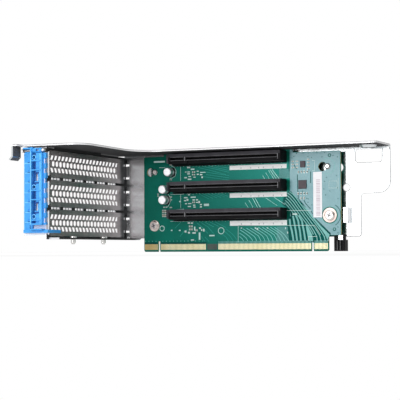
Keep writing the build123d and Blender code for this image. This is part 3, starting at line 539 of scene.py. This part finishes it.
class Finish(Nodes):
    """A material and the nodes that are added to it."""

    def __init__(self, name):
        self.material = bpy.data.materials.new(name)
        self.material.use_nodes = True
        super().__init__(self.material.node_tree)
        self.output = self.tree.nodes.new("ShaderNodeOutputMaterial")

    def place(self):
        return self.node("ShaderNodeTexCoord").outputs["Object"]

    def facing(self):
        return self.parts(self.node("ShaderNodeTexCoord").outputs["Normal"])

    def stretched(self, scale):
        mapping = self.node("ShaderNodeMapping", {"Vector": self.place(), "Scale": scale})
        return mapping.outputs["Vector"]

    def noise(self, scale, detail=3.0, roughness=0.55, vector=None):
        """Cloudy noise from 0 to 1; the scale is in patches for each millimetre."""
        made = self.node("ShaderNodeTexNoise", {
            "Vector": vector or self.place(), "Scale": scale / MM, "Detail": detail,
            "Roughness": roughness})
        return made.outputs["Fac"]

    def fade(self, value, limits, low=0.0, high=1.0):
        """A change between two places, which are given in millimetres."""
        return self.span(value, low, high, limits[0] * MM, limits[1] * MM)

    def mix(self, factor, first, second):
        made = self.node("ShaderNodeMix", {"Factor": factor, 6: first, 7: second},
                         data_type="RGBA")
        return made.outputs[2]

    def bump(self, height, distance, strength):
        made = self.node("ShaderNodeBump", {
            "Height": height, "Distance": distance * MM, "Strength": strength})
        return made.outputs["Normal"]

    def shade(self, **inputs):
        """The surface shader; the names of its inputs are written with underscores."""
        named = {key.replace("_", " "): value for key, value in inputs.items()}
        shader = self.node("ShaderNodeBsdfPrincipled", named)
        self.join(shader.outputs["BSDF"], self.output.inputs["Surface"])
        return self.material


def metal(name, colour, rough, grain, wear, under=None, front=None, inner=None, deep=None):
    """Plated sheet: cloudy tone, faint rolling marks and a slightly uneven gloss.

    The last four are painted tones: painted shade under the top plate, with a pale painted
    highlight under a grey painted shade line on its front rim; a painted highlight on the faces
    along the front; painted shade on the faces towards +X; and painted shade deep inside near the
    board.
    """
    finish = Finish(name)
    cloud = finish.noise(0.12, 4.0)
    fine = finish.noise(1.4, 5.0, 0.6)
    streak = finish.noise(grain, 3.0, 0.5, finish.stretched((0.05, 1.0, 1.0)))
    darker = rgb(*[c * (1 - wear) for c in colour])
    tone = finish.mix(finish.span(cloud, 0.0, 1.0, 0.3, 0.75), rgb(*colour), darker)
    tone = finish.mix(finish.span(fine, 0.0, 0.35, 0.35, 0.8), tone, darker)
    gloss = finish.math("ADD", finish.span(cloud, rough * 0.75, rough * 1.2, 0.3, 0.7),
                        finish.span(streak, -rough * 0.2, rough * 0.25))
    facing = finish.facing()
    place = finish.parts(finish.place())
    shine = 1.0
    # Painted shade on the faces towards +X, which also lose their metal shine
    if inner:
        inward = finish.span(facing["X"], 0.0, 1.0, 0.3, 0.8)
        tone = finish.mix(inward, tone, rgb(*inner))
        gloss = finish.math("ADD", gloss, finish.span(inward, 0.0, 0.4))
        shine = finish.math("SUBTRACT", shine, inward)
    # Painted shade deep inside near the board
    if deep:
        tone = finish.mix(finish.fade(place["Y"], deep_y), tone, rgb(*deep))
    # A painted highlight on the faces along the front, which also lose their metal shine
    if front:
        turned = finish.math("MULTIPLY", finish.span(facing["Y"], 1.0, 0.0, -0.95, -0.6),
                             finish.fade(place["Y"], front_y, 1.0, 0.0))
        tone = finish.mix(turned, tone, rgb(*front))
        shine = finish.math("SUBTRACT", shine, turned)
    # Painted shade under the top plate; on its front rim a pale painted highlight under a grey
    # painted shade line; these faces lose their metal shine
    if under:
        upright = finish.math("ABSOLUTE", facing["Z"])
        rim = finish.math("MULTIPLY", finish.span(upright, 1.0, 0.0, 0.4, 0.7),
                          finish.fade(place["Z"], rim_z))
        # The rim's pale painted highlight, with a grey painted shade line above it
        lip = finish.mix(finish.fade(place["Z"], lip_z), rgb(0.82, 0.82, 0.83),
                         rgb(0.26, 0.26, 0.27))
        tone = finish.mix(rim, tone, lip)
        below = finish.math("MULTIPLY", finish.span(facing["Z"], 1.0, 0.0, -0.95, -0.6),
                            finish.fade(place["Z"], under_z))
        tone = finish.mix(below, tone, rgb(*under))
        gloss = finish.math("ADD", gloss, finish.span(below, 0.0, 0.7))
        shine = finish.math("SUBTRACT", shine, finish.math("MAXIMUM", below, rim))
    height = finish.math("ADD", finish.math("MULTIPLY", streak, 0.6), fine)
    return finish.shade(Base_Color=tone, Metallic=shine, Roughness=gloss,
                        Normal=finish.bump(height, 0.002, 0.25))


def plastic(name, colour, rough, spread, bump, specular=0.5, glow=0.0):
    """Moulded plastic: a fine spark texture and a soft change of tone; a glow above nought makes
    it shine by itself, which only the painted highlights of the bend finish use.
    """
    finish = Finish(name)
    cloud = finish.noise(0.15, 3.0)
    grain = finish.noise(6.0, 2.0, 0.5)
    lighter = rgb(*[min(1.0, c * (1 + spread) + 0.004) for c in colour])
    darker = rgb(*[c * (1 - spread) for c in colour])
    tone = finish.mix(finish.span(cloud, 0.0, 1.0, 0.3, 0.7), darker, lighter)
    gloss = finish.span(grain, rough * 0.85, rough * 1.15, 0.3, 0.7)
    return finish.shade(Base_Color=tone, Roughness=gloss, Specular_IOR_Level=specular,
                        Emission_Color=tone, Emission_Strength=glow,
                        Normal=finish.bump(grain, bump, 0.5))


def solder_mask(name, colour, tint, gloss, shine, glow=(0.12, 0.85, 0.75)):
    """Green mask over copper or laminate, with bare laminate along the board's cut edges."""
    finish = Finish(name)
    cloud = finish.noise(0.05, 3.0)
    weave = finish.noise(2.2, 2.0)
    flat = finish.span(finish.math("ABSOLUTE", finish.facing()["Y"]), 0.0, 1.0, 0.6, 0.9)
    green = finish.mix(finish.span(cloud, 0.0, 1.0, 0.35, 0.65), rgb(*colour), rgb(*tint))
    laminate = finish.mix(weave, rgb(0.30, 0.27, 0.10), rgb(0.46, 0.42, 0.18))
    tone = finish.mix(flat, laminate, green)
    rough = finish.span(weave, gloss * 0.85, gloss * 1.15, 0.3, 0.7)
    return finish.shade(Base_Color=tone, Roughness=rough, Specular_IOR_Level=shine,
                        Specular_Tint=rgb(*glow), Normal=finish.bump(weave, 0.004, 0.3))


def printed(name, colour, rough=0.55):
    """Ink with tiny pinholes and an uneven coat."""
    finish = Finish(name)
    speck = finish.noise(2.6, 3.0, 0.7)
    faded = rgb(*[c * 0.85 for c in colour])
    tone = finish.mix(finish.span(speck, 0.0, 0.6, 0.5, 0.8), rgb(*colour), faded)
    return finish.shade(Base_Color=tone, Roughness=rough, Normal=finish.bump(speck, 0.004, 0.4))


def gold_plate():
    """Gold with a browner, darker tone towards the card edge's left end."""
    finish = Finish("gold_plate")
    cloud = finish.noise(0.08, 3.0)
    fine = finish.noise(2.0, 3.0)
    # A browner, darker tone towards the card edge's left end, set by place along X
    brown_end = finish.fade(finish.parts(finish.place())["X"], brown_end_x, 0.8, 0.0)
    tone = finish.mix(finish.span(cloud, 0.0, 1.0, 0.3, 0.7), rgb(0.75, 0.67, 0.45),
                      rgb(0.71, 0.62, 0.37))
    tone = finish.mix(brown_end, tone, rgb(0.50, 0.31, 0.09))
    return finish.shade(Base_Color=tone, Metallic=0.7,
                        Roughness=finish.span(fine, 0.34, 0.48, 0.3, 0.7),
                        Normal=finish.bump(fine, 0.003, 0.3))


def make_finishes():
    return {
        # The bracket: painted shade under its top plate, a painted highlight and shade line on its
        # rim
        "bracket": metal("bracket_zinc", (0.77, 0.805, 0.82), 0.20, 0.8, 0.10,
                         under=(0.03, 0.03, 0.032)),
        # The frame: a painted highlight on its front faces and painted shade on its faces towards
        # +X
        "frame": metal("frame_plate", (0.70, 0.71, 0.73), 0.30, 0.8, 0.12,
                       front=(0.90, 0.91, 0.94), inner=(0.015, 0.015, 0.016)),
        # The fillers: a painted highlight on their front faces and painted shade deep inside near
        # the board
        "filler": metal("filler_plate", (0.51, 0.455, 0.462), 0.38, 1.2, 0.16,
                        front=(0.80, 0.84, 0.94), deep=(0.07, 0.07, 0.072)),
        "hardware": metal("nickel_hardware", (0.74, 0.73, 0.71), 0.24, 2.0, 0.15),
        "can": metal("can_aluminium", (0.95, 0.95, 0.97), 0.42, 3.0, 0.05),
        "slot": plastic("slot_plastic", (0.006, 0.006, 0.007), 0.60, 0.2, 0.008, 0.08),
        "latch": plastic("latch_plastic", (0.045, 0.33, 0.78), 0.38, 0.08, 0.006),
        "black": plastic("black_plastic", (0.002, 0.002, 0.003), 0.55, 0.2, 0.006, 0.12),
        "chip": plastic("chip_plastic", (0.045, 0.030, 0.040), 0.50, 0.15, 0.010),
        "passive": plastic("passive_ceramic", (0.20, 0.17, 0.13), 0.45, 0.25, 0.004),
        "board": solder_mask("mask_over_copper", (0.000, 0.072, 0.045), (0.000, 0.095, 0.062),
                             0.24, 0.9),
        "bare": solder_mask("mask_over_laminate", (0.000, 0.036, 0.030), (0.000, 0.046, 0.038),
                            0.30, 0.3),
        "trace": solder_mask("mask_over_trace", (0.12, 0.38, 0.34), (0.16, 0.44, 0.40), 0.26, 0.5,
                             (0.7, 0.95, 1.0)),
        "faint": solder_mask("mask_over_track", (0.020, 0.20, 0.15), (0.026, 0.22, 0.17), 0.26,
                             0.9),
        # Near-white painted glint on the fan tracks
        "glint": solder_mask("mask_over_glint", (0.52, 0.84, 0.79), (0.58, 0.88, 0.83), 0.26, 0.5,
                             (0.7, 0.95, 1.0)),
        # The pour's pale tone: partly a copper pour under the mask, partly painted lamp reflection
        "pour": solder_mask("mask_over_pour_and_sheen", (0.13, 0.30, 0.33), (0.17, 0.35, 0.38), 0.26, 0.6,
                            (0.85, 0.95, 1.0)),
        "edge_pour": solder_mask("mask_over_thin_pour", (0.03, 0.17, 0.155), (0.04, 0.19, 0.175),
                                 0.26, 0.6, (0.5, 0.9, 0.9)),
        "gap": plastic("bare_laminate", (0.045, 0.065, 0.055), 0.5, 0.2, 0.006, 0.3),
        "gold": gold_plate(),
        "silk": printed("silk_ink", (1.0, 1.0, 1.0), 0.8),
        "thin_ink": printed("silk_thin_ink", (0.50, 0.66, 0.63), 0.5),
        "label": printed("label_film", (0.86, 0.85, 0.88), 0.35),
        "bar": printed("label_bar", (0.60, 0.52, 0.58), 0.45),
        "tin": metal("tinned_end", (0.42, 0.47, 0.45), 0.38, 3.0, 0.12),
        "mark": printed("faint_mark", (0.40, 0.46, 0.47)),
        # Grey lines of painted shade along the plate's edges
        "edge": plastic("painted_edge_shade", (0.30, 0.30, 0.31), 0.6, 0.2, 0.004, 0.2),
        "hook": plastic("hook_plate", (0.105, 0.107, 0.110), 0.6, 0.2, 0.004, 0.15),
        # Painted highlights on the slot edges and the foot's ribs
        "rail": plastic("painted_edge_highlight", (0.16, 0.16, 0.17), 0.45, 0.2, 0.004, 0.3),
        # A lighter copy of the slot plastic: painted light on the upper rails
        "top_rail": plastic("upper_rail", (0.034, 0.032, 0.040), 0.45, 0.2, 0.006, 0.2),
        # Pale blue painted highlights on the latch and its posts
        "rim": plastic("latch_painted_highlight", (0.22, 0.62, 0.95), 0.35, 0.08, 0.004),
        # Navy painted shade in the latch's channel
        "channel": plastic("latch_channel_shade", (0.007, 0.065, 0.28), 0.45, 0.25, 0.006, 0.3),
        # Pale painted highlights where the filler tabs show through the comb
        "tab": plastic("tab_edge_highlight", (0.55, 0.55, 0.72), 0.4, 0.2, 0.004),
        # Pale and glowing faintly: painted highlights on the board stop's side and the filler
        # bends
        "bend": plastic("bend_light", (0.85, 0.86, 0.88), 0.4, 0.08, 0.004, 0.5, 0.35),
        "pad": metal("annular_pad", (0.66, 0.52, 0.47), 0.46, 3.0, 0.12),
        "spring": metal("spring_metal", (0.16, 0.12, 0.06), 0.45, 3.0, 0.2),
        "recess": plastic("recess_shadow", (0.05, 0.05, 0.06), 0.5, 0.4, 0.004),
    }


def dress_nodes():
    worn_by = {
        "bracket": ["main_bracket", "frame_rivets"],
        "frame": ["rear_frame"],
        "filler": ["slot_filler_1", "slot_filler_2", "slot_filler_3"],
        "hardware": ["latch_pin", "board_screws", "board_standoffs", "board_studs", "guide_pins"],
        "can": ["capacitor_cans"],
        "slot": ["card_slot_1", "card_slot_2", "card_slot_3"],
        "latch": ["card_latch"],
        "black": ["corner_foot", "capacitor_bases"],
        "chip": ["regulator_chip", "buffer_chip"],
        "passive": ["small_parts"],
        "board": ["riser_board"],
        "gold": ["edge_contacts_front", "edge_contacts_back"],
        "label": ["board_label"],
    }
    for finish, nodes in worn_by.items():
        for node in nodes:
            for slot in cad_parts[node].material_slots:
                slot.material = finishes[finish]


def gold_fingers():
    """Single fingers along the card edge, one piece on each side."""
    for name, node, y0, y1 in (
            ("gold_fingers_front", "edge_contacts_front", board_front - finger_proud, board_front),
            ("gold_fingers_back", "edge_contacts_back", board_back, board_back + finger_proud)):
        fingers = Sheet()
        for x in finger_places:
            fingers.block(x - finger_width / 2, x + finger_width / 2, y0, y1, finger_low,
                          finger_high)
        made = fingers.piece(name, "gold")
        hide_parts(node)


def lay_copper():
    """Copper under the mask, from the wide pour up to the fine tracks; the pour's pale tone is
    partly painted lamp reflection.
    """
    # The pour, pale with painted lamp reflection
    pour = Sheet()
    pour.holed_patch([pour_outline, keyhole_outline(*keyhole)], pour_layer)
    pour.piece("copper_pour_and_sheen", "pour")
    thin = Sheet()
    thin.panels(thin_pours, pour_layer)
    thin.piece("thin_pours", "edge_pour")
    gap = Sheet()
    gap.panel(finger_runs[1][1] + 0.3, finger_runs[2][0] - 0.3, finger_low, finger_high,
              pour_layer)
    gap.piece("edge_gap", "gap")
    ground = Sheet()
    ground.patch(bundle_ground, gap_layer)
    ground.ribbons(gap_lines, gap_width, gap_layer)
    for left, right in finger_runs:
        ground.panel(left, right, finger_high + 0.1, lead_end, gap_layer)
    ground.piece("bare_gaps", "bare")
    tracks = Sheet()
    for path in bundle_wide:
        tracks.patch(path, track_layer)
    tracks.ribbons(bundle_traces, bundle_width, track_layer)
    tracks.ribbons(thick_traces, thick_width, track_layer)
    tracks.ribbons(curved_traces, curve_width, track_layer)
    for x in finger_places:
        if x > finger_runs[2][0]:
            tracks.upright(x, finger_high, lead_end + 0.4, curve_width, track_layer)
        elif int(x) % 3 == 0:
            tracks.disc(x, lead_end + 0.7, 0.3, track_layer, 8)
    tracks.piece("copper_tracks", "trace")
    # Painted glint: the fan tracks drawn brighter than the other tracks
    bright = Sheet()
    bright.ribbons(fan_traces[0:2] + fan_traces[7:9], bright_width, track_layer)
    bright.ribbons(fan_traces[2:7:2] + fan_traces[10::2], fine_width, track_layer)
    bright.piece("bright_tracks", "glint")
    faint = Sheet()
    faint.ribbons(faint_traces, faint_width, track_layer)
    faint.piece("faint_tracks", "faint")


def print_silk():
    """White stripes between the slots, thin outlines and plain marking fields."""
    silk = Sheet()
    silk.panels(stripes, print_layer)
    silk.piece("silk_print", "silk")
    silk = Sheet()
    silk.panels(silk_bars, print_layer)
    silk.ribbons(silk_lines, silk_width, print_layer)
    for x, z in silk_dots:
        silk.disc(x, z, 0.6, print_layer)
    for x, z, radius, start, end in silk_arcs:
        silk.ring(x, z, radius - 0.15, radius + 0.15, start, end, y=print_layer)
    for x, z, radius in silk_rings:
        silk.ring(x, z, radius - 0.35, radius + 0.1, y=print_layer)
    silk.piece("silk_outlines", "thin_ink")
    marks = Sheet()
    for z in mark_rows:
        for x in mark_places:
            marks.block(x - 0.25, x + 0.25, top_layer, print_layer, z - 0.5, z + 0.7)
    marks.piece("silk_marks", "mark")


def solder_pads():
    """Tinned pads, the rings round the holes and screws, and the vias."""
    shiny = Sheet()
    shiny.panels(pads, print_layer)
    shiny.piece("tinned_pads", "tin")
    rings = Sheet()
    for ring in pour_rings:
        rings.ring(*ring, y=print_layer)
    for x, z in holes:
        rings.ring(x, z, 0.55, 0.75, y=print_layer)
    rings.piece("copper_rings", "trace")
    lands = Sheet()
    for ring in screw_lands:
        lands.ring(*ring, y=print_layer)
    lands.piece("screw_lands", "pad")
    dark = Sheet()
    for x, z in vias:
        dark.disc(x, z, 0.36, top_layer, 10)
    for x, z in holes:
        dark.ring(x, z, 0.7, 1.2, y=top_layer)
    for ring in bare_rings:
        dark.ring(*ring, y=print_layer)
    dark.piece("via_holes", "bare")


def tiny_chips():
    """Small chip parts beside the pads, with tinned ends on these and on the larger ones."""
    front = board_front - 0.45
    bodies = Sheet()
    for x0, x1, z0, z1 in tiny_parts:
        bodies.block(x0, x1, front, pour_layer, z0, z1)
    bodies.piece("tiny_chips", "passive")
    ends = Sheet()
    boxes = [(x0, x1, front, z0, z1) for x0, x1, z0, z1 in tiny_parts]
    boxes += islands("small_parts")
    grow = 0.03
    share = 0.24
    for x0, x1, y, z0, z1 in boxes:
        if x1 - x0 > z1 - z0:
            length = (x1 - x0) * share
            spans = [(x0 - grow, x0 + length, z0 - grow, z1 + grow),
                     (x1 - length, x1 + grow, z0 - grow, z1 + grow)]
        else:
            length = (z1 - z0) * share
            spans = [(x0 - grow, x1 + grow, z0 - grow, z0 + length),
                     (x0 - grow, x1 + grow, z1 - length, z1 + grow)]
        for a, b, c, d in spans:
            ends.block(a, b, y - grow, pour_layer, c, d)
    ends.piece("tinned_ends", "tin")


def islands(node):
    """The box of each separate solid of a node, as millimetres: x0, x1, front y, z0, z1."""
    work = bmesh.new()
    work.from_mesh(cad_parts[node].data)
    bmesh.ops.remove_doubles(work, verts=work.verts, dist=1e-6)
    left = set(work.verts)
    found = []
    while left:
        group = [left.pop()]
        for corner in group:
            for edge in corner.link_edges:
                other = edge.other_vert(corner)
                if other in left:
                    left.remove(other)
                    group.append(other)
        points = [corner.co / MM for corner in group]
        found.append((min(p.x for p in points), max(p.x for p in points),
                      min(p.y for p in points), min(p.z for p in points),
                      max(p.z for p in points)))
    work.free()
    return sorted(found)


def contact_springs():
    """Two rows of bent contact springs in each slot's mouth."""
    springs = Sheet()
    lip = slot_mouth_y + spring_lip
    deep = slot_mouth_y + spring_deep
    middle = (lip + deep) / 2 - 1.0
    half = spring_width / 2
    for z in slot_heights:
        for left, right in mouth_spans:
            for x in spread(left, right, spring_pitch, spring_margin):
                for side in (-1, 1):
                    wall = z + side * (mouth_half - 0.02)
                    belly = z + side * (mouth_half - 0.42)
                    path = [(lip, wall), (lip + 1.4, belly), (middle, belly), (deep, wall)]
                    corners = [(c, y, height) for y, height in path for c in (x - half, x + half)]
                    springs.add(corners, [(0, 1, 3, 2), (2, 3, 5, 4), (4, 5, 7, 6)])
    springs.piece("contact_springs", "spring")


def plate_edges():
    """Grey lines of painted shade along the edges of the wing, its openings and the board stop,
    and two side faces: the stop's with a painted highlight, and the hook's.
    """
    y = plate_face - mask_skin
    # Grey lines of painted shade along the edges
    lines = Sheet()
    lines.ribbon(outline(wing_ends, wing_corners), edge_width, y)
    lines.ribbon(outline(window_ends, window_corners), edge_width, y)
    lines.ring(*wing_hole, y=y)
    lines.ribbons(stop_paths, 0.4, stop_front)
    lines.piece("plate_edges", "edge")
    # A painted highlight, glowing faintly, on the board stop's side face
    side = Sheet()
    side.side_panel(*stop_side)
    side.piece("stop_side", "bend")
    hook = Sheet()
    hook.side_panel(*hook_side)
    hook.add([(x, y, z) for x, z in hook_curl for y in hook_side[1:3]], [(0, 1, 3, 2)])
    hook.piece("hook_side", "hook")


def slot_edges():
    """Painted highlights along each slot's mouth, its end and the bridge of its key."""
    y = slot_mouth_y - mask_skin
    edges = Sheet()
    for z in slot_heights:
        for edge in (z - lip_half, z + lip_half):
            for left, right in mouth_spans:
                edges.ribbon([(left, edge), (right, edge)], 0.2, y)
        edges.upright(mouth_right + 0.25, z - end_half, z + end_half, 0.45, y)
        edges.upright(key_left + 0.9, z - bridge_half, z + bridge_half, 0.8, y)
    edges.piece("slot_edges", "rail")


def slot_rails():
    """The upper rail of each slot, painted lighter because it catches more light, and its stepped
    end in the same tone.
    """
    y = slot_mouth_y - mask_skin
    rails = Sheet()
    for z in slot_heights:
        rails.panel(slot_start + 0.4, mouth_right + 2.0, *[z + rise for rise in rail_rise], y)
        rails.block(slot_start - end_block, slot_start - 0.02, slot_mouth_y + 0.1,
                    board_front - 0.05, *[z + rise for rise in step_rise])
    rails.piece("upper_rails", "top_rail")


def slot_shadows():
    """Painted shade on the lips of each mouth, and a dark block of painted shadow under each slot,
    with the slot's solder tails.
    """
    y = slot_mouth_y - mask_skin
    shade = Sheet()
    tails = Sheet()
    for z in slot_heights:
        for low, high in shade_rises:
            for left, right in mouth_spans:
                shade.panel(left, right, z + low, z + high, y)
        shade.block(slot_start - end_block, slot_start + slot_length, board_front - 0.6,
                    board_front - 0.05, *[z + rise for rise in shadow_rise])
        for i in range(tail_count):
            tails.disc(slot_start + 2.0 + tail_pitch * i, z + tail_rise - 0.25 * (i % 2), 0.2,
                       top_layer, 6)
    # Black plastic laid as painted shade and painted shadow
    shade.piece("slot_shade", "black")
    tails.piece("solder_tails", "tin")


def post_bores():
    """Painted shade in the bores of the latch's posts, and on a ring round each bore's mouth."""
    bores = Sheet()
    for z in post_heights:
        bores.disc(post_x, z, bore_radius, bore_floor)
        bores.ring(post_x, z, bore_radius, 1.05, y=post_front)
    bores.piece("post_bores", "black", "latch")


def latch_channel_shade():
    """Painted shade on the floor of the latch's channel and in its notches and gaps, and dark
    lines of painted shade beside it and along its arm.
    """
    channel = Sheet()
    for low, high, reach in channel_rows:
        channel.panel(channel_left, channel_step - 0.05, low, high, latch_floor)
        channel.panel(channel_step, reach, low, high, latch_strip)
    channel.upright(*channel_line, latch_strip - 0.01)
    channel.ribbon(arm_shade_line, 0.5, latch_floor - mask_skin)
    for z in tooth_heights:
        channel.panel(*notch_span, z + 0.7, z + 1.2, latch_floor - 0.01)
    for low, high in channel_gaps:
        channel.panel(channel_left, channel_left + 0.9, low, high, latch_floor)
    channel.piece("latch_channel_shade", "channel", "latch")


def latch_highlights():
    """Painted highlights along the latch's ridges and across its comb."""
    pale = Sheet()
    pale.upright(*ridge_line, latch_ridge)
    pale.upright(*strip_line, latch_strip)
    pale.upright(*comb_line, latch_floor)
    for z in tooth_heights:
        pale.panel(*comb_span, z + 0.3, z + 0.7, latch_floor)
    pale.piece("latch_highlights", "rim", "latch")


def comb_tab_highlights():
    """Pale patches of painted highlight along the latch's right edge, where the filler tabs show
    through its comb.
    """
    teeth = Sheet()
    for z in tooth_heights:
        teeth.panel(*tooth_span, z, z + 3.0, tooth_front)
    teeth.piece("comb_tab_highlights", "tab", "latch")


def filler_bends():
    """A painted highlight, glowing faintly, on the bend of each filler beside the latch."""
    bends = Sheet()
    for z in slot_heights:
        middle = z - filler_drop
        bends.side_panel(*bend_side, middle - bend_half, middle + bend_half)
    bends.piece("filler_bends", "bend")


def post_rims():
    """Painted highlights on the rims of the latch's posts."""
    rims = Sheet()
    for z in post_heights:
        rims.ring(post_x, z, 1.4, 1.66, y=post_front)
    rims.piece("post_rims", "rim", "latch")


def foot_ribs():
    """Painted highlights on the rounded ribs of the plastic foot."""
    ribs = Sheet()
    for x in foot_lines:
        ribs.upright(x, *foot_span, 0.35, foot_front)
    ribs.piece("foot_ribs", "rail")


def label_bars():
    """Plain bars where the label is printed."""
    low, high = [[c / MM for c in corner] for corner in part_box("board_label")]
    left = low[0] + 2.2
    right = high[0] - 1.3
    z = low[2] + 1.2
    bars = Sheet()
    chance = Random(7)
    while z < high[2] - 5.5:
        height = chance.uniform(0.35, 0.9)
        bars.panel(left, right, z, z + height, low[1] - mask_skin)
        z += height + chance.uniform(0.3, 0.8)
    bars.piece("label_bars", "bar")


def screw_recesses():
    """Cross recesses in the two board screws, laid as flat patches of painted shadow."""
    dark = Sheet()
    for place, turn in ((left_screw, 20.0), (right_screw, 65.0)):
        root = Vector(place)
        for quarter in range(4):
            angle = radians(turn + 90 * quarter)
            ahead = Vector((cos(angle), sin(angle)))
            across = Vector((-ahead.y, ahead.x))
            tip = root + ahead * recess_reach
            points = [root + across * recess_root, root - across * recess_root,
                      tip - across * recess_tip, tip + across * recess_tip]
            dark.patch([tuple(point) for point in points], screw_front)
    dark.piece("screw_recesses", "recess")


def screw_rims():
    """Rings on the screw heads, the washers' edges and the rims of the studs."""
    ridge = Sheet()
    for place in (left_screw, right_screw):
        ridge.ring(*place, *screw_ring, y=screw_front)
    ridge.piece("screw_rings", "hardware")
    washers = Sheet()
    x, z = left_screw
    turns = [2 * pi * i / washer_steps for i in range(washer_steps + 1)]
    washers.add([(x + r * cos(a), y, z + r * sin(a)) for a in turns for r, y in washer_rims],
                [(2 * i, 2 * i + 1, 2 * i + 3, 2 * i + 2) for i in range(washer_steps)])
    for ring in washer_rings:
        washers.ring(*ring, y=screw_front - 0.01)
    washers.piece("screw_washers", "pad")
    necks = Sheet()
    for ring in stud_rings:
        necks.ring(*ring, y=stud_front)
    necks.piece("stud_rims", "hook")


def set_camera():
    data = bpy.data.cameras.new("photo_camera")
    data.lens = camera_lens
    data.clip_start = 0.01
    data.clip_end = 20.0
    camera = bpy.data.objects.new("photo_camera", data)
    camera.matrix_world = (Matrix.Translation(Vector(camera_place) * MM)
                           @ Matrix.Rotation(radians(camera_yaw), 4, "Z")
                           @ Matrix.Rotation(radians(90.0 + camera_pitch), 4, "X")
                           @ Matrix.Rotation(radians(camera_roll), 4, "Z"))
    bpy.context.scene.collection.objects.link(camera)
    bpy.context.scene.camera = camera


def soft_lamp(name, place, target, width, height, radiance):
    """A square soft lamp of an even brightness that faces a target."""
    data = bpy.data.lights.new(name, "AREA")
    data.shape = "RECTANGLE"
    data.size = width * MM
    data.size_y = height * MM
    data.energy = radiance * pi * data.size * data.size_y
    lamp = bpy.data.objects.new(name, data)
    lamp.location = Vector(place) * MM
    towards = (Vector(target) - Vector(place)).normalized()
    lamp.rotation_euler = towards.to_track_quat("-Z", "Y").to_euler()
    bpy.context.scene.collection.objects.link(lamp)


def set_world():
    """A white background; what shines in metal sees a bright room with one dark side."""
    world = bpy.data.worlds.new("studio")
    bpy.context.scene.world = world
    world.use_nodes = True
    studio = Nodes(world.node_tree)
    white = rgb(1.0, 1.0, 1.0)
    path = studio.node("ShaderNodeLightPath").outputs
    ahead = studio.node("ShaderNodeTexCoord").outputs["Generated"]
    facing = studio.node("ShaderNodeVectorMath", {0: ahead, 1: Vector(dark_towards).normalized()},
                         operation="DOT_PRODUCT")
    shade = studio.node("ShaderNodeMapRange", {
        "Value": facing.outputs["Value"], "From Min": dark_edge[0], "From Max": dark_edge[1],
        "To Min": room_bright, "To Max": room_dark}, interpolation_type="SMOOTHSTEP")
    parts = studio.parts(ahead)
    lit = studio.math("MAXIMUM", studio.span(parts["Z"], 0.0, 1.0, *low_fade),
                      studio.span(parts["Y"], 0.0, 1.0, *back_fade))
    shiny = studio.math("MAXIMUM", room_dark,
                        studio.math("MULTIPLY", shade.outputs["Result"], lit))
    level = studio.node("ShaderNodeMix", {"Factor": path["Is Glossy Ray"], 2: room_fill, 3: shiny})
    room = studio.node("ShaderNodeBackground", {"Color": white, "Strength": level.outputs[0]})
    behind = studio.node("ShaderNodeBackground", {"Color": white})
    choice = studio.node("ShaderNodeMixShader", {
        0: path["Is Camera Ray"], 1: room.outputs[0], 2: behind.outputs[0]})
    studio.node("ShaderNodeOutputWorld", {"Surface": choice.outputs[0]})


def set_floor():
    """A pale floor that melts into the background and keeps the object's shadow."""
    finish = Finish("floor_white")
    speck = finish.noise(0.02, 2.0)
    tone = finish.mix(speck, rgb(0.90, 0.90, 0.90), rgb(0.94, 0.94, 0.94))
    diffuse = finish.node("ShaderNodeBsdfDiffuse", {"Color": tone})
    glow = finish.node("ShaderNodeEmission", {"Color": rgb(1.0, 1.0, 1.0)})
    path = finish.node("ShaderNodeLightPath").outputs
    seen = finish.math("ADD", path["Is Camera Ray"], path["Is Glossy Ray"])
    choice = finish.node("ShaderNodeMixShader", {
        0: finish.math("MULTIPLY", seen, floor_white), 1: diffuse.outputs[0],
        2: glow.outputs[0]})
    finish.join(choice.outputs[0], finish.output.inputs["Surface"])
    half = floor_size / 2 * MM
    mesh = bpy.data.meshes.new("floor")
    mesh.from_pydata([(-half, -half, 0), (half, -half, 0), (half, half, 0), (-half, half, 0)], [],
                     [(0, 1, 2, 3)])
    mesh.materials.append(finish.material)
    floor = bpy.data.objects.new("floor", mesh)
    bpy.context.scene.collection.objects.link(floor)


finishes = make_finishes()
dress_nodes()
gold_fingers()
lay_copper()
print_silk()
solder_pads()
tiny_chips()
contact_springs()
plate_edges()
slot_edges()
slot_rails()
slot_shadows()
post_bores()
latch_channel_shade()
latch_highlights()
comb_tab_highlights()
filler_bends()
post_rims()
foot_ribs()
label_bars()
screw_recesses()
screw_rims()
set_world()
set_floor()
soft_lamp("key_lamp", *key_lamp)
soft_lamp("top_lamp", *top_lamp)
bpy.context.scene.view_settings.view_transform = "Standard"
set_camera()
